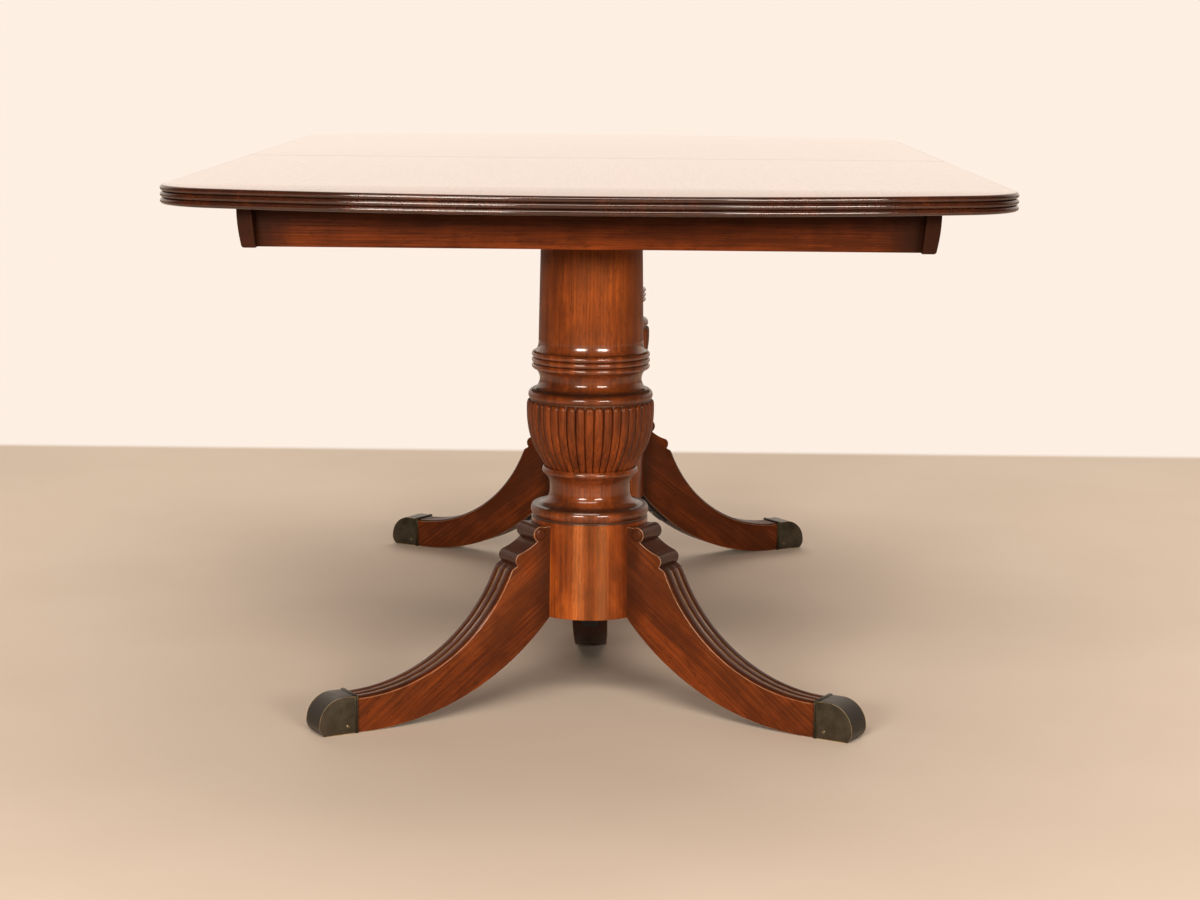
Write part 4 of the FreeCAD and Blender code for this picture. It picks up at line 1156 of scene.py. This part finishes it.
def leg_rows(work, line, crossing):
    """Vertices across the leg at each point of a line: eased edges at both sides, reeds between."""
    points = [point for point, reeds in line]
    rows = []
    for (point, reeds), normal in zip(line, outward_normals(points)):
        half = leg_half_width(point[0])
        inner = half - LEG_EASING
        arris = LEG_EASING * LEG_EASING_SHARE
        row = []

        def add(across, rise, glaze=0.0, wear=0.0):
            spot = Vector(point) + normal * rise
            row.append(work.vertex((spot.x, across, spot.y), glaze, wear))

        # Both arrises carry wear that is partly a painted highlight.
        add(-half, -LEG_EASING)
        add(-half + arris, -arris, wear=LEG_ARRIS_WEAR_AND_GLINT)
        # Where the reeds die away, on the scroll heads and underside, the scroll's painted shade takes over.
        for share, height, glaze, wear in crossing:
            darkening = glaze * reeds + SCROLL_SHADE * (1 - reeds) if glaze else 0.0
            add(share * inner, height * reeds * LEG_REED_DEPTH, darkening, wear * reeds)
        add(half - arris, -arris, wear=LEG_ARRIS_WEAR_AND_GLINT)
        add(half, -LEG_EASING)
        rows.append(row)
    return rows


def add_scroll_eyes(work):
    """The round ends of the upper scroll on both sides of a leg, each a low dome in a ring of painted shade.
    """
    for side in (-1, 1):
        rings = []
        for (radius_share, rise_share), darkening in zip(SCROLL_EYE_SHARES, SCROLL_EYE_SHADES):
            radius = SCROLL_EYE_RADIUS * radius_share
            circle = arc_points(UPPER_SCROLL, radius, 0, 360, SCROLL_EYE_STEPS)[:-1]
            across = side * (leg_half_width(UPPER_SCROLL[0]) + SCROLL_EYE_PROUD * rise_share)
            rings.append([work.vertex((x, across, z), darkening) for x, z in circle])
        work.skin(rings, closed=True)
        work.face(rings[-1])


def sabre_leg(half, hand, finishes):
    """A sabre leg with its two scrolls and reeded sweep, drawn along +X and turned to its place."""
    work = Work()
    upper = leg_rows(work, leg_upper_line(), reed_crossing())
    # Painted shade on the underside.
    flat = [(-1.0, 0.0, SOLE_SHADE, 0.0), (1.0, 0.0, SOLE_SHADE, 0.0)]
    lower = leg_rows(work, [(point, 0.0) for point in leg_lower_line()], flat)
    work.skin(upper, finish=1)
    work.skin(lower)
    for side in (0, -1):
        work.face([row[side] for row in upper + lower], smooth=False)
    work.face(upper[-1] + lower[0][::-1], smooth=False)
    work.face(lower[-1] + upper[0][::-1], smooth=False)
    add_scroll_eyes(work)
    slope = math.radians(LEG_GRAIN_SLOPE)
    azimuth = LEG_AZIMUTHS[half][hand]
    shift = math.radians(azimuth) + FACING[half]

    def to_grain(place):
        along = place.x * math.cos(slope) - place.z * math.sin(slope)
        return (along + shift, place.y, place.x * math.sin(slope) + place.z * math.cos(slope))

    work.lay_grain(to_grain)
    turn = Matrix.Rotation(math.radians(azimuth), 4, "Z")
    work.move(Matrix.Translation((0, PEDESTAL_Y[half], 0)) @ turn)
    node = "leg_" + hand + "_" + half
    return work.done("sabre_" + node, finishes, half + "_half", "mahogany", [node], sharp=LEG_SHARP)


# Toe caps

def cap_side_view():
    """Side view of a toe cap: flat sole, round toe and crown, flat top."""
    tip = CAP_MOUTH + CAP_LENGTH
    sole = (tip - CAP_SOLE_BACK, 0.0)
    nose = (tip, CAP_NOSE_LEVEL)
    top = (tip - CAP_TOP_BACK, CAP_CROWN)
    line = [(CAP_MOUTH, 0.0)]
    line += bowed(sole, nose, CAP_TOE_BULGE, CAP_STEPS)
    line += bowed(nose, top, CAP_CROWN_BULGE, CAP_STEPS)[1:]
    line.append((CAP_MOUTH, CAP_CROWN))
    return line


def add_bead(work, low, high):
    """A bead of the collar, between two corners, with eased edges."""
    made = bmesh.ops.create_cube(work.bm, size=1.0)
    size = [high[axis] - low[axis] for axis in range(3)]
    middle = [(high[axis] + low[axis]) / 2 for axis in range(3)]
    bmesh.ops.scale(work.bm, vec=size, verts=made["verts"])
    bmesh.ops.translate(work.bm, vec=middle, verts=made["verts"])
    for vertex in made["verts"]:
        vertex[work.glaze] = COLLAR_STAIN
    edges = dict.fromkeys(edge for vertex in made["verts"] for edge in vertex.link_edges)
    work.ease(list(edges), COLLAR_EASING, wear=COLLAR_WEAR)


def toe_cap(half, hand, finish):
    """A cast brass toe cap with two fine beads round its mouth."""
    side_view = cap_side_view()
    work = board(side_view, (-CAP_HALF_WIDTH, CAP_HALF_WIDTH), "Y")
    flat_sides = [face for face in work.bm.faces if len(face.verts) > 4]
    arrises = [edge for face in flat_sides for edge in face.edges]
    work.ease(arrises, CAP_EASING, segments=CAP_EASING_STEPS)
    # Painted shade over the sole, toe and crown, but not the flat sides or the worn arrises.
    for vertex in work.bm.verts:
        if abs(vertex.co.y) < CAP_HALF_WIDTH - CAP_EASING / 2 and not vertex[work.wear]:
            vertex[work.glaze] = CAP_TOE_SHADE
    reach = CAP_HALF_WIDTH + COLLAR_PROUD
    for number in range(COLLAR_BEADS):
        start = CAP_MOUTH + number * COLLAR_PITCH
        add_bead(work, (start, -reach, 0.0), (start + COLLAR_BEAD, reach, CAP_CROWN + COLLAR_PROUD))
    turn = Matrix.Rotation(math.radians(LEG_AZIMUTHS[half][hand]), 4, "Z")
    work.move(Matrix.Translation((0, PEDESTAL_Y[half], 0)) @ turn)
    node = "toe_cap_" + hand + "_" + half
    return work.done("cast_" + node, [finish], half + "_half", "aged_brass", [node], sharp=CAP_SHARP)


# Screws, bolts, rivets and pins

def read_fasteners(node):
    """Where the screws of a CAD node sit: seat, direction and sizes of each, from the islands of its mesh."""
    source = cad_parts[node]
    islands = bmesh.new()
    islands.from_mesh(source.data)
    bmesh.ops.transform(islands, matrix=source.matrix_world, verts=islands.verts)
    bmesh.ops.remove_doubles(islands, verts=islands.verts, dist=WELD)
    grouped = set()
    found = []
    for start in islands.verts:
        if start in grouped:
            continue
        grouped.add(start)
        island = [start]
        for vertex in island:
            for edge in vertex.link_edges:
                other = edge.other_vert(vertex)
                if other not in grouped:
                    grouped.add(other)
                    island.append(other)
        found.append(measure_fastener([vertex.co.copy() for vertex in island]))
    islands.free()
    return found


def measure_fastener(points):
    """Seat, direction into the wood, head radius, head height, shank radius and shank length of one screw."""
    cloud = np.array([tuple(point) for point in points])
    middle = cloud.mean(axis=0)
    axis = np.linalg.svd(cloud - middle)[2][0]
    along = (cloud - middle) @ axis
    apart = np.linalg.norm(cloud - middle - np.outer(along, axis), axis=1)
    wide = along[apart > apart.max() - MEASURE_SLACK]
    if wide.mean() > (along.max() + along.min()) / 2:
        axis, along, wide = -axis, -along, -wide
    seat = middle + axis * wide.max()
    head_height = wide.max() - along.min()
    shank = apart[along > along.max() - MEASURE_SLACK].max()
    return Vector(seat), Vector(axis), apart.max(), head_height, shank, along.max() - wide.max()


def fastener_tree(finish, slotted):
    """Node tree that sets a turned fastener on every point, its length along the point's axis."""
    tree = bpy.data.node_groups.new("slotted_screw" if slotted else "plain_pin", "GeometryNodeTree")
    tree.interface.new_socket("Points", in_out="INPUT", socket_type="NodeSocketGeometry")
    for name in FASTENER_SIZES:
        tree.interface.new_socket(name, in_out="INPUT", socket_type="NodeSocketFloat")
    tree.interface.new_socket("Seed", in_out="INPUT", socket_type="NodeSocketInt").default_value = SCREW_SEED
    tree.interface.new_socket("Fasteners", in_out="OUTPUT", socket_type="NodeSocketGeometry")
    graph = Graph(tree)
    given = graph.node("NodeGroupInput")
    size = {name: given.output(name) for name in ("Points", *FASTENER_SIZES, "Seed")}

    def lifted(shape, level):
        place = graph.node("ShaderNodeCombineXYZ", {}, {2: level})
        return graph.node("GeometryNodeTransform", {}, {"Geometry": shape, "Translation": place})

    def turned(top, bottom, length):
        return graph.node("GeometryNodeMeshCone", {}, {
            "Vertices": SCREW_SIDES, "Radius Top": top, "Radius Bottom": bottom, "Depth": length})

    radius = size["Head Radius"]
    height = size["Head Height"]
    foot_height = height * HEAD_FOOT_SHARE
    dome_height = height * (1.0 - HEAD_FOOT_SHARE)
    head = lifted(turned(radius, radius, foot_height), -1.0 * foot_height)
    cap = lifted(turned(radius, radius * HEAD_TIP_SHARE, dome_height), -1.0 * height)
    if slotted:
        bar = graph.node("ShaderNodeCombineXYZ", {}, {
            0: radius * SLOT_LENGTH_SHARE, 1: radius * SLOT_WIDTH_SHARE, 2: dome_height})
        slot = lifted(graph.node("GeometryNodeMeshCube", {}, {"Size": bar}), -1.0 * height)
        cap = graph.node(
            "GeometryNodeMeshBoolean", {"operation": "DIFFERENCE"}, {"Mesh 1": cap, "Mesh 2": slot})
    shank = turned(size["Shank Radius"], size["Shank Radius"], size["Shank Length"])
    whole = graph.node("GeometryNodeJoinGeometry", {}, {0: [shank, head, cap]})
    axis = graph.node("GeometryNodeInputNamedAttribute", {"data_type": "FLOAT_VECTOR"}, {"Name": "axis"})
    aim = graph.node("FunctionNodeAlignRotationToVector", {"axis": "Z"}, {"Vector": axis})
    random_turn = graph.node("FunctionNodeRandomValue", {"data_type": "FLOAT"}, {
        "Min": 0.0, "Max": math.pi, "Seed": size["Seed"]}, output=1)
    spin = graph.node("FunctionNodeAxisAngleToRotation", {}, {"Axis": (0.0, 0.0, 1.0), "Angle": random_turn})
    stance = graph.node(
        "FunctionNodeRotateRotation", {"rotation_space": "LOCAL"}, {"Rotation": aim, "Rotate By": spin})
    placed = graph.node("GeometryNodeInstanceOnPoints", {}, {
        "Points": size["Points"], "Instance": whole, "Rotation": stance})
    solid = graph.node("GeometryNodeRealizeInstances", {}, {"Geometry": placed})
    coated = graph.node("GeometryNodeSetMaterial", {}, {"Geometry": solid, "Material": finish})
    graph.node("NodeGroupOutput", {}, {0: coated})
    return tree


def fasteners(node, tree, finish, body):
    """The fasteners of a CAD node, drawn with their true heads at their own places."""
    found = read_fasteners(node)
    points = bpy.data.meshes.new(node + "_places")
    points.from_pydata([seat for seat, *rest in found], [], [])
    directions = points.attributes.new("axis", "FLOAT_VECTOR", "POINT")
    for number, (seat, axis, *rest) in enumerate(found):
        directions.data[number].vector = axis
    sizes = {name: float(value) for name, value in zip(FASTENER_SIZES, found[0][2:])}
    mesh = grown(node + "_set", tree, sizes, points)
    mesh.set_sharp_from_angle(angle=math.radians(SCREW_SHARP))
    return place_piece(node + "_set", mesh, [finish], body, [node])


# Carried over CAD nodes

def coat_nodes(finish, *nodes):
    """Gives CAD nodes that keep their own shape a finish."""
    for node in nodes:
        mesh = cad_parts[node].data
        mesh.materials.clear()
        mesh.materials.append(finish)


# Stage, light and camera

WALL = colour(0.991, 0.863, 0.767)
BACKDROP = colour(0.965, 0.815, 0.70)
FLOOR = colour(0.565, 0.468, 0.378)
FLOOR_PALE = colour(0.640, 0.543, 0.452)
FLOOR_REACH = 1.73
FLOOR_FADE = 0.06
FLOOR_SIZE = 40.0
FLOOR_MOTTLE = (3.0, 3.0, 3.0)


def studio_floor():
    """Pale floor round the table that turns into the backdrop further out."""
    finish = Finish("studio_floor")
    place = finish.place()
    apart = finish.node("ShaderNodeSeparateXYZ", {}, {0: finish.apart(place)})
    reach = finish.node(
        "ShaderNodeMath", {"operation": "MAXIMUM"}, {0: apart.output("X"), 1: apart.output("Y")})
    far = finish.step(reach, FLOOR_REACH - FLOOR_FADE, FLOOR_REACH)
    ground = finish.mix(FLOOR, FLOOR_PALE, finish.cloud(place, FLOOR_MOTTLE, detail=5.0))
    finish.set(Base_Color=ground, Roughness=0.62, Specular_IOR_Level=0.25)
    seen = finish.node("ShaderNodeLightPath", output="Is Camera Ray")
    glow = finish.node("ShaderNodeEmission", {}, {"Color": WALL, "Strength": 1.0})
    surface = Value(finish, finish.surface.outputs["BSDF"])
    shown = finish.node("ShaderNodeMixShader", {}, {0: far * seen, 1: surface, 2: glow})
    finish.feed(finish.tree.nodes["Material Output"].inputs["Surface"], shown)
    half = FLOOR_SIZE / 2
    mesh = bpy.data.meshes.new("studio_floor")
    corners = [(-half, -half, 0), (half, -half, 0), (half, half, 0), (-half, half, 0)]
    mesh.from_pydata(corners, [], [(0, 1, 2, 3)])
    mesh.materials.append(finish.material)
    floor = bpy.data.objects.new("studio_floor", mesh)
    bpy.context.scene.collection.objects.link(floor)


AMBIENT = 0.045
DIM_SIDE = 0.04
BEHIND_LIMITS = (0.15, 0.75)


def studio_world():
    """Pale surroundings for the eye; in reflections bright behind the table and dim in front."""
    world = bpy.data.worlds.new("studio")
    world.use_nodes = True
    bpy.context.scene.world = world
    graph = Graph(world.node_tree)
    aim = graph.node("ShaderNodeTexCoord", output="Generated")
    depth = graph.node("ShaderNodeSeparateXYZ", {}, {0: aim}, output="Y")
    behind = graph.step(depth, *BEHIND_LIMITS)
    camera = graph.node("ShaderNodeLightPath", output="Is Camera Ray")
    glossy = camera.output("Is Glossy Ray") + camera.output("Is Transmission Ray")
    mirrored = glossy * (DIM_SIDE + behind * (1.0 - DIM_SIDE))
    strength = camera + (1.0 - camera) * (mirrored + (1.0 - glossy) * AMBIENT)
    ground = graph.tree.nodes["Background"]
    graph.feed(ground.inputs["Color"], graph.mix(BACKDROP, WALL, camera))
    graph.feed(ground.inputs["Strength"], strength)


LIGHT_TARGET = Vector((0.0, -0.25, 0.45))
WARM_LIGHT = (1.0, 0.90, 0.80)


def softbox(name, place, width, height, power, warmth=WARM_LIGHT, mirrored=True):
    """A soft lamp that looks at the middle of the table; lacquer mirrors it or only takes its light."""
    light = bpy.data.lights.new(name, "AREA")
    light.shape = "RECTANGLE"
    light.size = width
    light.size_y = height
    light.energy = power
    light.color = warmth
    lamp = bpy.data.objects.new(name, light)
    bpy.context.scene.collection.objects.link(lamp)
    lamp.location = place
    lamp.rotation_euler = (LIGHT_TARGET - Vector(place)).to_track_quat("-Z", "Y").to_euler()
    lamp.visible_camera = False
    lamp.visible_glossy = mirrored


CAMERA_PLACE = Vector((0.04911, -3.9740, 0.9354))
CAMERA_LENS = 76.63
CAMERA_SENSOR = 36.0
CAMERA_YAW = -0.0100
CAMERA_PITCH = 0.1629
CAMERA_ROLL = 0.0089


def photo_camera():
    """Camera at the photograph's place, turn and lens."""
    data = bpy.data.cameras.new("photo_camera")
    data.sensor_fit = "HORIZONTAL"
    data.sensor_width = CAMERA_SENSOR
    data.lens = CAMERA_LENS
    camera = bpy.data.objects.new("photo_camera", data)
    bpy.context.scene.collection.objects.link(camera)
    level = math.cos(CAMERA_PITCH)
    ahead = Vector((math.sin(CAMERA_YAW) * level, math.cos(CAMERA_YAW) * level, -math.sin(CAMERA_PITCH)))
    right = Vector((math.cos(CAMERA_YAW), -math.sin(CAMERA_YAW), 0.0))
    up = right.cross(ahead)
    tilted_right = right * math.cos(CAMERA_ROLL) + up * math.sin(CAMERA_ROLL)
    tilted_up = up * math.cos(CAMERA_ROLL) - right * math.sin(CAMERA_ROLL)
    turn = Matrix((tilted_right, tilted_up, -ahead)).transposed().to_4x4()
    camera.matrix_world = Matrix.Translation(CAMERA_PLACE) @ turn
    bpy.context.scene.camera = camera


# Assembly

lacquered_top = mahogany(
    "lacquered_top", shift=0.42, coat=1.0, coat_roughness=0.03, roughness=0.16, sheen=1.0, index=1.9,
    figure=0.7)
edge_wood = mahogany("edge_mahogany", shift=0.24, coat=1.0, index=1.58)
column_wood = mahogany(
    "column_mahogany", shift=0.35, coat=0.60, coat_roughness=0.15, roughness=0.56, sheen=0.40, index=1.6)
ring_wood = mahogany(
    "ring_mahogany", shift=0.46, coat=1.0, coat_roughness=0.17, roughness=0.56, sheen=0.45, index=1.6)
urn_wood = mahogany("urn_mahogany", shift=0.44, coat=0.24, coat_roughness=0.18, roughness=0.56, sheen=0.25)
shaft_wood = mahogany(
    "shaft_mahogany", shift=0.48, coat=0.22, coat_roughness=0.14, roughness=0.56, sheen=0.50)
drum_wood = mahogany(
    "drum_mahogany", shift=0.52, coat=0.10, coat_roughness=0.20, roughness=0.34, sheen=1.0, brushed=1.0,
    figure=1.2)
leg_wood = mahogany(
    "leg_mahogany", shift=0.12, coat=0.18, coat_roughness=0.18, roughness=0.56, sheen=0.20, figure=0.6,
    shaded_root=True)
crest_wood = mahogany("crest_mahogany", shift=0.20, coat=0.40, coat_roughness=0.14, sheen=0.20)
apron_wood = mahogany("apron_mahogany", shift=0.09, coat=0.18, coat_roughness=0.2, figure=0.6)
underside_wood = mahogany("unpolished_mahogany", shift=0.40, coat=0.0, roughness=0.62)
brass = aged_brass("aged_brass", BRASS_PATINA)
bright_brass = aged_brass("rubbed_brass", BRASS_RUBBED)
steel = plated_steel("plated_steel")
iron = blackened_iron("blackened_iron")
runner_maple = bare_wood("runner_maple", MAPLE_TONES, GRAIN_ALONG_Y)
bearer_poplar = bare_wood("bearer_poplar", POPLAR_TONES, GRAIN_ALONG_X)
dowel_birch = bare_wood("dowel_birch", BIRCH_TONES, GRAIN_ALONG_Y)

urn_recipe = urn_tree(urn_wood)
screw_recipe = fastener_tree(steel, slotted=True)
pin_recipe = fastener_tree(bright_brass, slotted=False)
for half in HALVES:
    top_half(half, [lacquered_top, underside_wood, edge_wood])
    end_apron(half, apron_wood)
    turned_column(half, [drum_wood, column_wood, ring_wood, shaft_wood])
    reeded_urn(half, urn_wood, urn_recipe)
    for hand in HANDS:
        side_rail(half, hand, apron_wood)
    for hand in LEG_AZIMUTHS[half]:
        sabre_leg(half, hand, [leg_wood, crest_wood])
        toe_cap(half, hand, brass)
    coat_nodes(runner_maple, "runner_" + half + "_left", "runner_" + half + "_right")
    coat_nodes(bearer_poplar, "bearer_outer_" + half, "bearer_inner_" + half)
    coat_nodes(bearer_poplar, "pedestal_board_" + half, "corner_blocks_" + half)
    coat_nodes(iron, "strap_" + half)
    for kind in ("runner_screws_", "bearer_screws_", "board_bolts_", "strap_screws_"):
        fasteners(kind + half, screw_recipe, steel, half + "_half")
    fasteners("toe_pins_" + half, pin_recipe, bright_brass, half + "_half")
coat_nodes(runner_maple, "runner_middle_left", "runner_middle_right")
coat_nodes(dowel_birch, "seam_dowels")
fasteners("latch_screws", screw_recipe, steel, "front_half")
fasteners("keeper_screws", screw_recipe, steel, "rear_half")
coat_nodes(steel, "latch_rivets")
for hand in HANDS:
    coat_nodes(steel, "latch_plate_" + hand, "latch_lever_" + hand, "latch_keeper_" + hand)

studio_floor()
studio_world()
softbox("key_left", place=(-1.8, -5.3, 1.52), width=1.8, height=0.6, power=185)
softbox("key_right", place=(2.3, -5.1, 1.52), width=1.8, height=0.6, power=168)
softbox("front_panel", place=(-0.4, -4.3, 3.7), width=4.0, height=1.0, power=165)
softbox("overhead", place=(0.5, 1.0, 4.2), width=5.0, height=3.6, power=112, mirrored=False)
softbox("rear_fill", place=(0.0, 4.4, 3.4), width=6.0, height=1.6, power=120, mirrored=False)
softbox("backdrop_panel", place=(0.0, 5.2, 2.0), width=9.0, height=3.4, power=8, warmth=BACKDROP[:3])
photo_camera()

scene = bpy.context.scene
scene.view_settings.view_transform = "Standard"
